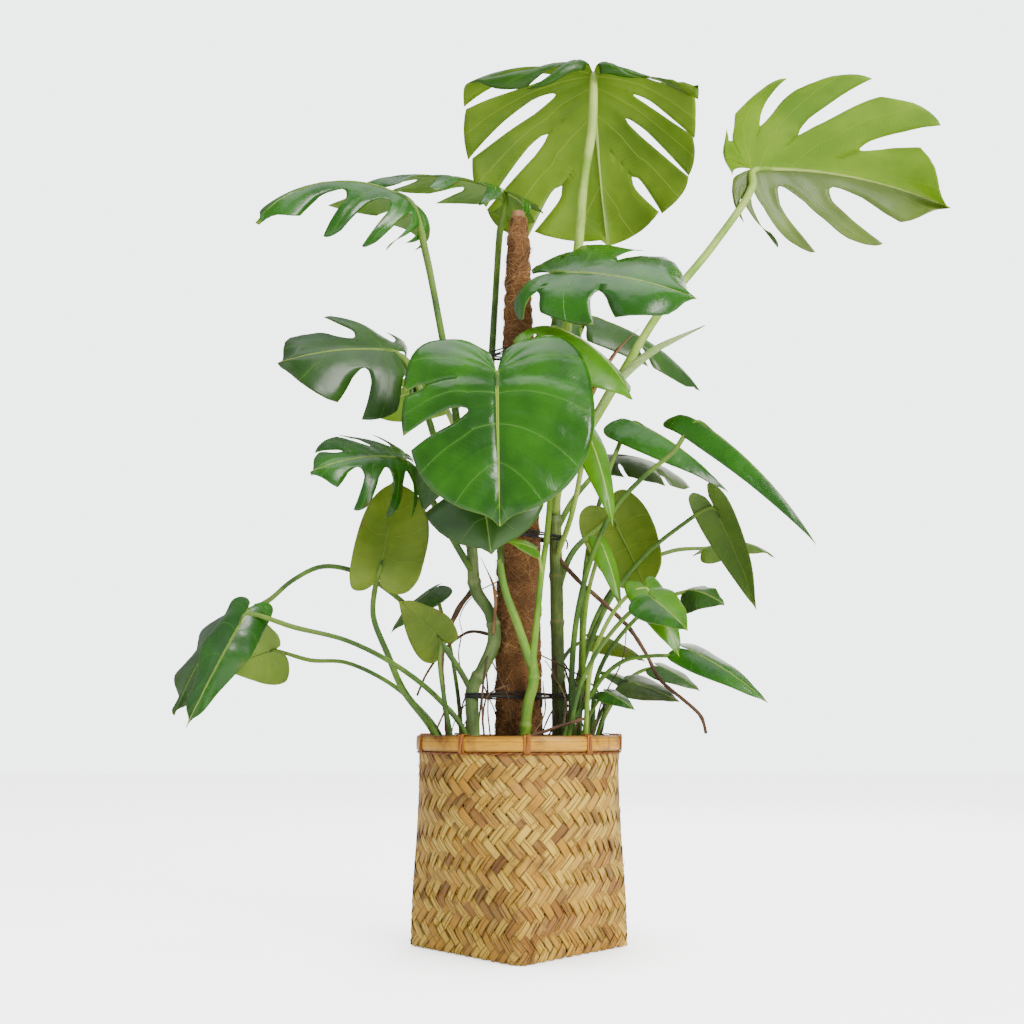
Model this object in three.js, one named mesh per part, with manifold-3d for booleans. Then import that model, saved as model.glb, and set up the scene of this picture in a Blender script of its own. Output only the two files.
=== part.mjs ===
// Potted swiss cheese plant on a coir pole, in a round-topped woven bamboo basket.
// Millimetres, +Z up. The origin is the middle of the basket's underside and +Y points to the back.
import * as THREE from 'three';
import Module from 'manifold-3d';
import { mergeVertices } from 'three/addons/utils/BufferGeometryUtils.js';

const wasm = await Module();
wasm.setup();

// Clearance between pieces that touch
const fit = 0.3;

// Basket: a square foot turned corner to front, rising into a round rim
const basket = {
  topRadius: 145.5,
  wall: 4,
  footHalfSide: 113.8,
  footSquareness: 16,
  footEdge: 4,
  floor: 5,
  height: 290,
  roundFrom: 20,
  roundAt: 235,
  segments: 32,
};
const rim = { top: 295, height: 22, hoop: 4.2, rounding: 2, bindings: 10, firstBinding: -49.9 };
const lashing = { strand: 3.2, width: 9, thickness: 1.6 };

// Nursery pot and its soil
const pot = { footRadius: 96, topRadius: 126, lipRadius: 131, top: 268, lip: 9, wall: 2.2, sides: 20 };
const soil = { edge: 254, crown: 261 };

// Climbing pole: a wooden stake in a tapering coir sleeve
const stake = { radius: 11, foot: 40, top: 1110 };
const sleeve = { profile: [[190, 36], [330, 36], [560, 34.5], [860, 27], [1060, 19], [1098, 15]], sides: 16 };
const [sleeveFoot, sleeveFootRadius] = sleeve.profile[0];
const [sleeveTop] = sleeve.profile[sleeve.profile.length - 1];
const tie = { height: 11, thickness: 1.8, slack: 0.5, corners: 16 };

// Leaf blades
const bladeThickness = 1.1;
const petioleSides = 5;
const thinPetioleSides = 4;
const thinPetiole = 3;

// The stalk reaches this share of the blade's length under the midrib, and ends this much thinner
const midribReach = 0.14;
const midribTaper = 0.3;

// One half of the heart shape, from the inner corner of the basal lobe to the tip. Vein rays fan out
// from the petiole up to fanEnd and then start along the midrib, and end on the margin at
// (along, out), where 1 is the blade's length and half its width.
const fanEnd = 0.3;
const outlines = {
  lobed: { along: [-0.17, -0.28, -0.26, -0.1, 0.12, 0.36, 0.58, 0.76, 0.88, 0.94, 1],
    out: [0.07, 0.37, 0.71, 0.93, 1, 0.99, 0.9, 0.7, 0.42, 0.13, 0] },
  full: { along: [-0.17, -0.28, -0.26, -0.1, 0.12, 0.36, 0.6, 0.8, 0.93, 0.98, 1],
    out: [0.07, 0.37, 0.71, 0.93, 1, 1, 0.96, 0.83, 0.58, 0.26, 0] },
  pointed: { along: [-0.12, -0.22, -0.2, -0.07, 0.13, 0.35, 0.55, 0.72, 0.85, 0.93, 1],
    out: [0.08, 0.42, 0.77, 0.97, 1, 0.88, 0.68, 0.46, 0.26, 0.1, 0] },
};
const veinSweep = 0.06;
const basalReach = 0.25;

// Cuts between lobes: where each lies from basal lobe to tip, how far out from the midrib the slit
// starts on the left and right half, and how wide it is there. A start of 1 leaves that side whole.
const cutSets = {
  none: [],
  few: [[0.34, 0.4, 0.45], [0.58, 0.35, 0.4]],
  deep: [[0.2, 0.4, 0.5, 1.6, 0.8], [0.38, 0.22, 0.42, 1.7, 0.8], [0.56, 0.2, 0.34, 1.7, 0.8],
    [0.74, 0.25, 0.42, 1.5, 0.7]],
  split: [[0.34, 0.35, 0.25, 1.5, 2.6], [0.6, 0.3, 0.3, 1.6, 2]],
  many: [[0.14, 0.5, 0.6], [0.27, 0.36, 0.45, 1, 0.6], [0.4, 0.28, 0.4, 1.2, 0.6],
    [0.53, 0.28, 0.35, 1.1, 0.5], [0.66, 0.4, 0.3, 0.7, 0.6], [0.8, 0.5, 0.5, 0.6, 0.6]],
  heart: [[0.2, 1, 1], [0.41, 1, 0.74, 1, 0.8], [0.56, 1, 0.32, 1, 2.2], [0.72, 1, 1], [0.86, 1, 1]],
};

// Slits: the half width at the widest, the share of it that is left at the margin, and how far the
// two corners of a lobe's end are drawn in, the one nearer to the leaf's base first
const slits = { plain: [0.014, 0.8, 0.04, 0.01], closing: [0.034, 0.06, 0.05, 0.02],
  wide: [0.026, 1.5, 0.15, 0.02] };

// Colours of the finishes
const finishes = {
  deepLeaf: { color: 0x1f4a1c, roughness: 0.35 },
  leaf: { color: 0x2f6a23, roughness: 0.38 },
  brightLeaf: { color: 0x5c9a2c, roughness: 0.42 },
  oliveLeaf: { color: 0x7c9440, roughness: 0.5 },
  stem: { color: 0x5f8a52, roughness: 0.45 },
  dryRoot: { color: 0x5a4232, roughness: 0.9 },
  drySheath: { color: 0x8a6138, roughness: 0.85 },
  bamboo: { color: 0xb58e56, roughness: 0.6 },
  rimCane: { color: 0xc79a4f, roughness: 0.45 },
  potPlastic: { color: 0x1c1c1c, roughness: 0.5 },
  soil: { color: 0x2b1d14, roughness: 1 },
  coir: { color: 0x6d4322, roughness: 1 },
  stakeWood: { color: 0x9a7446, roughness: 0.8 },
  tieBlack: { color: 0x151515, roughness: 0.7 },
};

// Stems: points from the soil up, with a radius at each
const stems = {
  stem_main: [[[58, 30, 215], 10.5], [[60, 28, 300], 10.5], [[59, 26, 400], 10], [[57, 24, 550], 10],
    [[54, 18, 680], 9], [[49, 16, 790], 7]],
  stem_left: [[[-64, -24, 215], 9.5], [[-66, -25, 298], 9.5], [[-67, -26, 362], 10], [[-52, -27, 392], 9],
    [[-36, -30, 432], 10], [[-43, -30, 472], 8.5], [[-63, -25, 505], 9.5], [[-69, -22, 560], 8.5],
    [[-72, -16, 630], 8], [[-70, -12, 690], 7]],
};
const frontStem = {
  trunk: [[[8, -56, 215], 7.5], [[9, -56, 298], 7.5], [[12, -57, 335], 7.5], [[21, -59, 372], 7.5],
    [[18, -60, 408], 7.5]],
  right: [[[18, -60, 400], 5.5], [[26, -61, 460], 4.8], [[33, -62, 527], 4.6], [[42, -63, 585], 4.2]],
  left: [[[18, -60, 400], 6.5], [[-2, -65, 452], 6], [[-20, -70, 501], 5.2], [[-28, -73, 545], 4.8]],
};

const roots = {
  root_long: { points: [[57, 22, 566], [84, 8, 530], [125, -6, 490], [162, -16, 452], [185, -20, 416],
    [205, -30, 375], [233, -38, 349], [261, -45, 322], [267, -48, 298]], radius: [3.6, 2.4],
    on: 'stem_main' },
  root_left_thick: { points: [[-66, -22, 512], [-96, -4, 468], [-114, -8, 416], [-111, -10, 364],
    [-104, -10, 298], [-98, -10, 236]], radius: [4.2, 3.6], on: 'stem_left' },
  root_left_thin: { points: [[-40, -26, 440], [-76, 8, 446], [-112, 8, 420], [-136, -6, 384],
    [-148, -24, 352]], radius: [2.6, 1.6], on: 'stem_left' },
  root_front: { points: [[-12, -100, 236], [4, -102, 285], [42, -102, 303], [90, -102, 318]],
    radius: [3, 2] },
};

// Leaves. base is where the petiole meets the blade, tip is the drip tip, and face is the way the
// upper side looks. arch bends the midrib, fold and curl bend the left and right halves, and basal
// bends the lobes behind the petiole, all in degrees, minus for drooping halves. fan above 1 keeps
// the veins' starts nearer to the petiole, and sides makes the halves narrower or wider. Leaves with
// cuts are lobed in outline and the others pointed, but for those that name another outline.
const leaves = {
  leaf_crown: { base: [122, 0, 1348], tip: [150, 112, 1100], face: [0, 0.88, 0.47], width: 378,
    sides: [1.2, 0.98], outline: 'full', arch: 60, fold: [4, -14], curl: [-10, -26], basal: 120,
    cuts: 'many', slit: 'closing', fan: 3, finish: 'leaf', on: 'stem_main', radius: [9, 6.5],
    petiole: [[52, 14, 735], [61, 0, 775], [66, -20, 840], [76, -25, 925], [93, -20, 1040],
      [104, -10, 1160], [118, -5, 1250]] },
  leaf_upper_right: { base: [382, 40, 1203], tip: [710, 60, 1144], face: [0, 0.38, 0.92], width: 300,
    sides: [1.04, 1.3], arch: 40, fold: [-60, 8], curl: [-20, -10], basal: 40, cuts: 'deep', slit: 'wide',
    fan: 2.4, finish: 'leaf', on: 'stem_main', radius: [8, 5.5], petiole: [[55, 14, 630], [60, -8, 665],
      [89, -15, 722], [125, -10, 783], [223, 0, 948], [311, 20, 1063], [380, 36, 1170]] },
  leaf_upper_left_front: { base: [-163, -62, 1101], tip: [-383, -150, 1028], face: [-0.2, -0.25, 0.95],
    width: 236, sides: [0.95, 0.9], arch: 80, fold: [-60, 6], curl: [-34, -20], basal: 30, cuts: 'deep',
    slit: 'wide', fan: 2.2, finish: 'leaf', on: 'stem_left', radius: [6.5, 4.5],
    petiole: [[-73, -15, 640], [-84, -28, 700], [-98, -36, 792], [-118, -50, 900], [-142, -58, 1020]] },
  leaf_upper_left_back: { base: [-22, 61, 1173], tip: [-244, -46, 1136], face: [0, 0.1, 1], width: 245,
    sides: [1, 0.44], arch: 40, fold: [-26, -4], curl: [-38, -20], basal: 14, cuts: 'deep', slit: 'wide',
    fan: 1.5, finish: 'deepLeaf', on: 'stem_left', radius: [6.5, 4.5], petiole: [[-71, -13, 680],
      [-58, -8, 750], [-44, 6, 847], [-38, 28, 950], [-30, 50, 1096]] },
  leaf_front_heart: { base: [-31, -190, 791], tip: [-26, -215, 570], face: [0, -0.97, 0.1], width: 266,
    arch: 25, fold: [8, 8], curl: [-20, -20], basal: 10, cuts: 'heart', slit: 'plain', fan: 1.4,
    finish: 'deepLeaf', on: 'stem_front', radius: [5.2, 4.2], petiole: [[-26, -72, 540], [-30, -76, 620],
      [-34, -84, 700], [-35, -100, 752], [-33, -142, 779]] },
  leaf_front_under: { base: [-60, -132, 704], tip: [-38, -165, 539], face: [-0.1, -0.9, 0.3], width: 205,
    arch: 30, fold: [-5, -5], curl: [-20, -20], basal: 10, cuts: 'few', finish: 'leaf', on: 'stem_left',
    radius: [5.5, 4], petiole: [[-71, -18, 600], [-72, -55, 636], [-66, -105, 676]] },
  leaf_left_mid: { base: [-184, -62, 862], tip: [-347, -135, 821], face: [-0.1, -0.85, 0.5], width: 236,
    arch: 30, fold: [-22, -4], curl: [-22, -14], basal: 20, cuts: 'split', slit: 'wide', fan: 1.5,
    finish: 'leaf', on: 'stem_left', radius: [6, 4], petiole: [[-69, -22, 562], [-96, -42, 632],
      [-130, -56, 745], [-162, -60, 835]] },
  leaf_left_low: { base: [-167, -90, 691], tip: [-290, -165, 655], face: [-0.2, -0.75, 0.6], width: 196,
    arch: 35, fold: [-30, 2], curl: [-30, -16], basal: 15, cuts: 'deep', slit: 'wide', fan: 1.5,
    finish: 'leaf', on: 'stem_left', radius: [5.5, 4], petiole: [[-67, -24, 530], [-98, -54, 580],
      [-140, -74, 655]] },
  leaf_left_behind: { base: [-133, 90, 852], tip: [-247, 150, 818], face: [0, 0.4, 0.9], width: 120,
    arch: 40, fold: [-10, -10], curl: [-20, -20], basal: 10, cuts: 'few', finish: 'oliveLeaf',
    on: 'stem_left', radius: [5, 3.5], petiole: [[-70, -12, 665], [-84, 18, 725], [-112, 62, 800]] },
  leaf_left_heart: { base: [-196, -110, 525], tip: [-179, -80, 664], face: [0.1, 0.95, -0.2], width: 112,
    sides: [1.12, 0.8], outline: 'lobed', arch: 25, fold: [8, 8], curl: [-25, -25], basal: 10,
    cuts: 'none', finish: 'oliveLeaf', radius: [6, 3], petiole: [[-100, -28, 232], [-122, -30, 298],
      [-166, -55, 359], [-187, -70, 408], [-206, -95, 460], [-204, -106, 494]] },
  leaf_far_left_dark: { base: [-403, -110, 459], tip: [-469, -140, 322], face: [-0.35, -0.8, 0.45],
    width: 160, sides: [0.6, 1.35], arch: 30, fold: [-12, -25], curl: [-20, -20], basal: 20, cuts: 'none',
    finish: 'deepLeaf', on: 'stem_left', radius: [4.5, 3], petiole: [[-66, -27, 352], [-86, -36, 388],
      [-122, -48, 438], [-172, -62, 488], [-228, -76, 524], [-281, -86, 533], [-323, -92, 512],
      [-356, -98, 482]] },
  leaf_far_left_folded: { base: [-371, -166, 458], tip: [-439, -190, 306], face: [0.25, -0.85, 0.4],
    width: 124, sides: [0.6, 0.85], arch: 30, fold: [-22, -34], curl: [-20, -26], basal: 20, cuts: 'none',
    finish: 'leaf', radius: [4.5, 3], petiole: [[-72, -46, 232], [-78, -46, 299], [-114, -54, 345],
      [-170, -84, 390], [-239, -112, 425], [-307, -144, 441]] },
  leaf_far_left_pale: { base: [-357, -20, 418], tip: [-445, 20, 393], face: [0, 0.97, 0.25], width: 100,
    arch: 25, fold: [-5, -5], curl: [-20, -20], basal: 10, cuts: 'none', finish: 'oliveLeaf',
    radius: [4, 2.6], petiole: [[-98, 8, 232], [-118, 4, 298], [-158, -10, 345], [-196, -18, 374],
      [-255, -20, 400], [-306, -20, 403]] },
  leaf_basket_left: { base: [-112, -66, 430], tip: [-174, -70, 487], face: [0.2, 0.8, 0.5], width: 85,
    arch: 20, fold: [-5, -5], curl: [-20, -20], basal: 10, cuts: 'none', finish: 'oliveLeaf',
    radius: [3.5, 2.4], petiole: [[-90, -64, 232], [-97, -69, 298], [-106, -73, 345], [-113, -72, 395]] },
  leaf_basket_dark: { base: [-127, 4, 512], tip: [-189, -10, 444], face: [-0.4, -0.6, 0.7], width: 60,
    arch: 30, fold: [-15, -15], curl: [-20, -20], basal: 10, cuts: 'none', finish: 'deepLeaf',
    radius: [3.5, 2.4], petiole: [[-84, 20, 232], [-88, 20, 330], [-104, 16, 430], [-120, 10, 490]] },
  leaf_centre_right: { base: [47, -126, 961], tip: [249, -190, 898], face: [0, -0.8, 0.6], width: 250,
    sides: [1.15, 0.78], arch: 28, fold: [0, -6], curl: [-22, -22], basal: 25, cuts: 'few', slit: 'wide',
    finish: 'deepLeaf', on: 'stem_main', radius: [6, 4], petiole: [[52, 8, 700], [49, -26, 765],
      [48, -38, 823], [50, -54, 883], [58, -98, 936]] },
  leaf_centre_small: { base: [48, -122, 880], tip: [161, -150, 762], face: [0.15, -0.5, 0.85], width: 140,
    arch: 50, fold: [-16, -10], curl: [-25, -25], basal: 20, cuts: 'few', finish: 'leaf',
    on: 'stem_front', radius: [4.6, 3.4], petiole: [[40, -63, 570], [46, -68, 640], [50, -84, 740],
      [52, -102, 820]] },
  leaf_behind_right: { base: [119, 110, 976], tip: [311, 190, 871], face: [0, -0.6, 0.8], width: 125,
    arch: 40, fold: [-15, -15], curl: [-20, -20], basal: 10, cuts: 'few', finish: 'deepLeaf',
    on: 'stem_main', radius: [5.5, 4], petiole: [[50, 16, 770], [62, 52, 850], [95, 92, 930]] },
  leaf_hanging_narrow: { base: [97, -110, 728], tip: [130, -150, 580], face: [0.3, -0.85, 0.4], width: 55,
    arch: 30, fold: [-15, -15], curl: [-20, -20], basal: 10, cuts: 'none', finish: 'brightLeaf',
    on: 'stem_main', radius: [4.5, 3], petiole: [[57, 24, 560], [78, -36, 615], [92, -84, 685]] },
  leaf_back_lobed: { base: [162, 150, 750], tip: [296, 230, 711], face: [0, -0.5, 0.86], width: 130,
    arch: 40, fold: [-10, -10], curl: [-20, -20], basal: 10, cuts: 'few', finish: 'leaf', on: 'stem_main',
    radius: [5, 3.5], petiole: [[56, 23, 600], [90, 76, 665], [135, 126, 722]] },
  leaf_right_high: { base: [185, 88, 792], tip: [329, 58, 669], face: [0.35, -0.7, 0.6], width: 100,
    arch: 30, fold: [-34, -20], curl: [-15, -15], basal: 30, cuts: 'none', finish: 'leaf', radius: [5, 3],
    petiole: [[90, 66, 232], [92, 64, 298], [96, 64, 400], [106, 70, 560], [128, 72, 655],
      [155, 82, 735]] },
  leaf_right_long: { base: [260, -92, 747], tip: [418, -122, 559], face: [0.4, -0.75, 0.5], width: 64,
    arch: 30, fold: [-46, -38], curl: [-15, -15], basal: 42, cuts: 'none', finish: 'leaf', radius: [5, 3],
    petiole: [[80, -32, 232], [78, -32, 298], [76, -33, 360], [84, -46, 462], [106, -62, 550],
      [139, -72, 619], [180, -78, 664], [226, -84, 703]] },
  leaf_right_drooping: { base: [295, -10, 632], tip: [347, -40, 475], face: [0.6, 0.75, 0.2], width: 66,
    arch: 25, fold: [-10, -10], curl: [-15, -15], basal: 20, cuts: 'none', finish: 'oliveLeaf',
    radius: [4.5, 2.8], petiole: [[92, -4, 232], [88, -4, 298], [94, 2, 390], [122, 12, 465],
      [153, 18, 518], [200, 16, 571], [253, 6, 612], [278, -4, 628]] },
  leaf_right_curl: { base: [305, 110, 591], tip: [419, 150, 578], face: [0, -0.4, 0.9], width: 70,
    arch: 60, fold: [-20, -20], curl: [-20, -20], basal: 20, cuts: 'none', finish: 'oliveLeaf',
    radius: [4.5, 2.8], petiole: [[70, 84, 232], [74, 84, 298], [98, 86, 400], [124, 90, 480],
      [170, 98, 545], [246, 106, 583]] },
  leaf_right_dark: { base: [244, -50, 503], tip: [293, -90, 477], face: [0, -0.9, 0.4], width: 72,
    arch: 60, fold: [-20, -20], curl: [-30, -30], basal: 20, cuts: 'none', finish: 'deepLeaf',
    radius: [4, 2.6], petiole: [[106, -36, 232], [106, -36, 298], [114, -38, 380], [150, -42, 440],
      [204, -48, 488]] },
  leaf_middle_olive: { base: [148, 60, 627], tip: [198, 40, 510], face: [0.1, 0.9, 0.4], width: 115,
    outline: 'lobed', arch: 25, fold: [-5, -5], curl: [-20, -20], basal: 10, cuts: 'none',
    finish: 'oliveLeaf', on: 'stem_main', radius: [6, 3.5], petiole: [[58, 25, 480], [64, 30, 525],
      [86, 42, 575], [126, 55, 612]] },
  leaf_middle_narrow: { base: [123, -40, 571], tip: [146, -75, 472], face: [0.4, -0.85, 0.3], width: 36,
    arch: 20, fold: [-15, -15], curl: [-10, -10], basal: 10, cuts: 'none', finish: 'brightLeaf',
    radius: [5, 2.4], petiole: [[104, -22, 232], [102, -22, 298], [94, -24, 400], [100, -30, 490],
      [114, -36, 545]] },
  leaf_young_glossy: { base: [181, -150, 483], tip: [226, -180, 434], face: [0, -0.75, 0.65], width: 78,
    arch: 20, fold: [-5, -5], curl: [-20, -20], basal: 10, cuts: 'none', finish: 'deepLeaf',
    radius: [4, 2.4], petiole: [[64, -84, 232], [70, -86, 298], [92, -104, 380], [142, -134, 452]] },
  leaf_young_bright: { base: [181, -106, 499], tip: [219, -140, 401], face: [0.3, -0.9, 0.2], width: 64,
    arch: 25, fold: [-5, -5], curl: [-20, -20], basal: 10, cuts: 'none', finish: 'brightLeaf',
    radius: [4, 2.4], petiole: [[92, -68, 232], [94, -70, 298], [104, -78, 400], [136, -94, 470],
      [164, -104, 496]] },
  leaf_right_low: { base: [240, -100, 413], tip: [338, -140, 339], face: [0.35, -0.8, 0.5], width: 60,
    arch: 25, fold: [-15, -15], curl: [-15, -15], basal: 20, cuts: 'none', finish: 'leaf',
    radius: [4, 2.4], petiole: [[60, -66, 232], [66, -66, 298], [96, -64, 342], [121, -66, 378],
      [151, -74, 400], [191, -84, 406], [222, -94, 406]] },
  leaf_low_olive: { base: [117, 46, 438], tip: [192, 40, 404], face: [0, 0.5, 0.85], width: 48, arch: 25,
    fold: [-10, -10], curl: [-20, -20], basal: 10, cuts: 'none', finish: 'oliveLeaf', on: 'stem_main',
    radius: [3.5, 2.2], petiole: [[60, 27, 396], [80, 36, 424], [100, 43, 435]] },
  leaf_low_back: { base: [214, 40, 397], tip: [271, 20, 359], face: [0, -0.5, 0.85], width: 52, arch: 25,
    fold: [-10, -10], curl: [-20, -20], basal: 10, cuts: 'none', finish: 'deepLeaf', radius: [3.5, 2.2],
    petiole: [[108, 40, 232], [112, 40, 298], [140, 42, 352], [182, 42, 388]] },
  leaf_low_pale: { base: [164, -20, 371], tip: [232, -40, 342], face: [0, -0.6, 0.8], width: 62, arch: 20,
    fold: [-5, -5], curl: [-15, -15], basal: 10, cuts: 'none', finish: 'oliveLeaf', radius: [3.5, 2.2],
    petiole: [[110, -4, 232], [116, -4, 298], [138, -12, 346]] },
  leaf_low_dark: { base: [162, 14, 374], tip: [117, 20, 388], face: [0, -0.5, 0.85], width: 36, arch: 20,
    fold: [-10, -10], curl: [-15, -15], basal: 10, cuts: 'none', finish: 'deepLeaf', radius: [3, 2],
    petiole: [[106, 18, 232], [118, 16, 298], [142, 14, 346]] },
  leaf_low_front: { base: [124, -60, 356], tip: [162, -92, 330], face: [0, -0.6, 0.8], width: 38,
    arch: 20, fold: [-10, -10], curl: [-15, -15], basal: 10, cuts: 'none', finish: 'leaf', radius: [3, 2],
    petiole: [[86, -46, 232], [92, -50, 298], [108, -54, 336]] },
  leaf_pole_small: { base: [22, -82, 560], tip: [-18, -98, 568], face: [0, -0.7, 0.7], width: 36,
    arch: 20, fold: [-5, -5], curl: [-15, -15], basal: 10, cuts: 'none', finish: 'brightLeaf',
    on: 'stem_front', radius: [2.6, 1.8], petiole: [[33, -62, 524], [31, -72, 540], [27, -79, 553]] },
};

// The newest leaf is still a rolled spear beside the petiole that it grew from
const spear = { points: [[104, -12, 752], [124, -32, 786], [150, -36, 822], [206, -46, 868], [280, -64, 901]],
  radius: [4, 4.5, 6.5, 6, 1.4], on: 'leaf_upper_right' };

// Dry brown sheaths left on the stems by old leaf stalks
const drySheaths = {
  dry_sheath_left: { points: [[-40, -42, 440], [-37, -43, 500], [-56, -38, 551]], radius: [3, 2.2, 0.9] },
  dry_sheath_right: { points: [[83, -12, 712], [88, -38, 748], [112, -48, 808], [150, -44, 872],
    [182, -36, 905]], radius: [3, 3.6, 3.2, 2.6, 0.9], on: 'leaf_upper_right' },
};

// Ties hold the stems to the pole. Each passes round the pole and the named stems at its height.
const ties = {
  tie_upper: { height: 876, around: ['leaf_upper_left_back'] },
  tie_middle: { height: 590, around: ['stem_main'] },
  tie_lower: { height: 352, around: ['stem_main', 'stem_left'] },
};

const vec = (p) => new THREE.Vector3(...p);
const radians = THREE.MathUtils.degToRad;

function toSolid(vertices, triangles) {
  return new wasm.Manifold(new wasm.Mesh({
    numProp: 3, vertProperties: new Float32Array(vertices), triVerts: new Uint32Array(triangles),
  }));
}

function solidOf(geometry) {
  const bare = geometry.clone();
  bare.deleteAttribute('normal');
  bare.deleteAttribute('uv');
  const merged = mergeVertices(bare, 1e-3);
  return toSolid(merged.attributes.position.array, merged.index.array);
}

function geometryOf(solid) {
  const mesh = solid.getMesh();
  const geometry = new THREE.BufferGeometry();
  geometry.setAttribute('position', new THREE.BufferAttribute(mesh.vertProperties, 3));
  geometry.setIndex(new THREE.BufferAttribute(mesh.triVerts, 1));
  geometry.computeVertexNormals();
  return geometry;
}

// Skins a run of closed rings with the same number of points, capped by a fan at both ends
function loft(rings) {
  const count = rings[0].length;
  const vertices = [];
  const triangles = [];
  const middle = (ring) => ring.reduce((sum, p) => sum.add(p), new THREE.Vector3()).divideScalar(count);
  rings.forEach((ring) => ring.forEach((p) => vertices.push(p.x, p.y, p.z)));
  const first = rings.length * count;
  [middle(rings[0]), middle(rings[rings.length - 1])].forEach((p) => vertices.push(p.x, p.y, p.z));
  for (let i = 0; i < count; i++) {
    const j = (i + 1) % count;
    for (let r = 0; r < rings.length - 1; r++) {
      const a = r * count;
      const b = a + count;
      triangles.push(a + i, a + j, b + j, a + i, b + j, b + i);
    }
    const last = (rings.length - 1) * count;
    triangles.push(first, j, i, first + 1, last + i, last + j);
  }
  return toSolid(vertices, triangles);
}

// A round rod along a smooth curve through the points, with a radius for each point
function rod(points, radii, { sides = petioleSides, spans = 2, extra = 0 } = {}) {
  const curve = new THREE.CatmullRomCurve3(points.map(vec), false, 'centripetal');
  const steps = (points.length - 1) * spans;
  const across = new THREE.Vector3(0.3, -1, 0.2);
  const rings = [];
  for (let i = 0; i <= steps; i++) {
    const at = Math.min(i / spans, points.length - 1 - 1e-9);
    const reading = (at * (radii.length - 1)) / (points.length - 1);
    const row = Math.floor(reading);
    const radius = THREE.MathUtils.lerp(radii[row], radii[row + 1], reading % 1);
    const centre = curve.getPoint(i / steps);
    const ahead = curve.getTangent(i / steps);
    across.addScaledVector(ahead, -across.dot(ahead)).normalize();
    const third = ahead.clone().cross(across);
    rings.push(Array.from({ length: sides }, (_, k) => {
      const angle = (2 * Math.PI * k) / sides;
      return centre.clone().addScaledVector(across, (radius + extra) * Math.cos(angle))
        .addScaledVector(third, (radius + extra) * Math.sin(angle));
    }));
  }
  return loft(rings);
}

const stemRod = (rows, extra = 0) => rod(rows.map((row) => row[0]), rows.map((row) => row[1]),
  { sides: 7, spans: 1, extra });

// A smooth reading of an evenly spaced table at s from 0 to 1
function read(table, s) {
  const x = Math.min(Math.max(s, 0), 1) * (table.length - 1);
  const i = Math.min(Math.floor(x), table.length - 2);
  const last = table.length - 1;
  const [a, b, c, d] = [table[Math.max(i - 1, 0)], table[i], table[i + 1], table[Math.min(i + 2, last)]];
  const t = x - i;
  return b + 0.5 * t * (c - a + t * (2 * a - 5 * b + 4 * c - d + t * (3 * (b - c) + d - a)));
}

// The bent sheet of a leaf: maps a place along (0 base, 1 tip) and out (mm from the midrib) to space
function leafSheet(leaf) {
  const base = vec(leaf.base);
  const chord = vec(leaf.tip).sub(base);
  const bend = radians(leaf.arch);
  const length = chord.length() * (bend / 2) / Math.sin(bend / 2);
  const ahead = chord.clone().normalize();
  const up = vec(leaf.face).addScaledVector(ahead, -vec(leaf.face).dot(ahead)).normalize();
  const right = ahead.clone().cross(up);
  const halves = (leaf.sides ?? [1, 1]).map((share) => (share * leaf.width) / 2);
  const basalBend = bend + radians(leaf.basal) / basalReach;

  function place(along, out) {
    const behind = along < 0;
    const rate = behind ? basalBend : bend;
    const angle = bend / 2 - rate * along;
    const x = (length / rate) * (Math.sin(bend / 2) - Math.sin(angle));
    const z = (length / rate) * (Math.cos(angle) - Math.cos(bend / 2));
    const lift = ahead.clone().multiplyScalar(-Math.sin(angle)).addScaledVector(up, Math.cos(angle));
    const side = out < 0 ? 0 : 1;
    const fold = radians(leaf.fold[side]);
    const curl = radians(leaf.curl[side]) / halves[side];
    const reach = Math.abs(out);
    const across = (Math.sin(fold + curl * reach) - Math.sin(fold)) / curl;
    const rise = (Math.cos(fold) - Math.cos(fold + curl * reach)) / curl;
    return base.clone().addScaledVector(ahead, x).addScaledVector(up, z)
      .addScaledVector(right, across * Math.sign(out)).addScaledVector(lift, rise);
  }
  return { place, halves, up };
}

// How wide a slit stands open at w, in the same measure as the cuts
function slitWidth(w, start, open, [halfWidth, atMargin]) {
  if (w <= start) return 0;
  const t = (w - start) / (1 - start);
  return open * halfWidth * Math.min(1, t * 3) * (1 + (atMargin - 1) * t);
}

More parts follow.
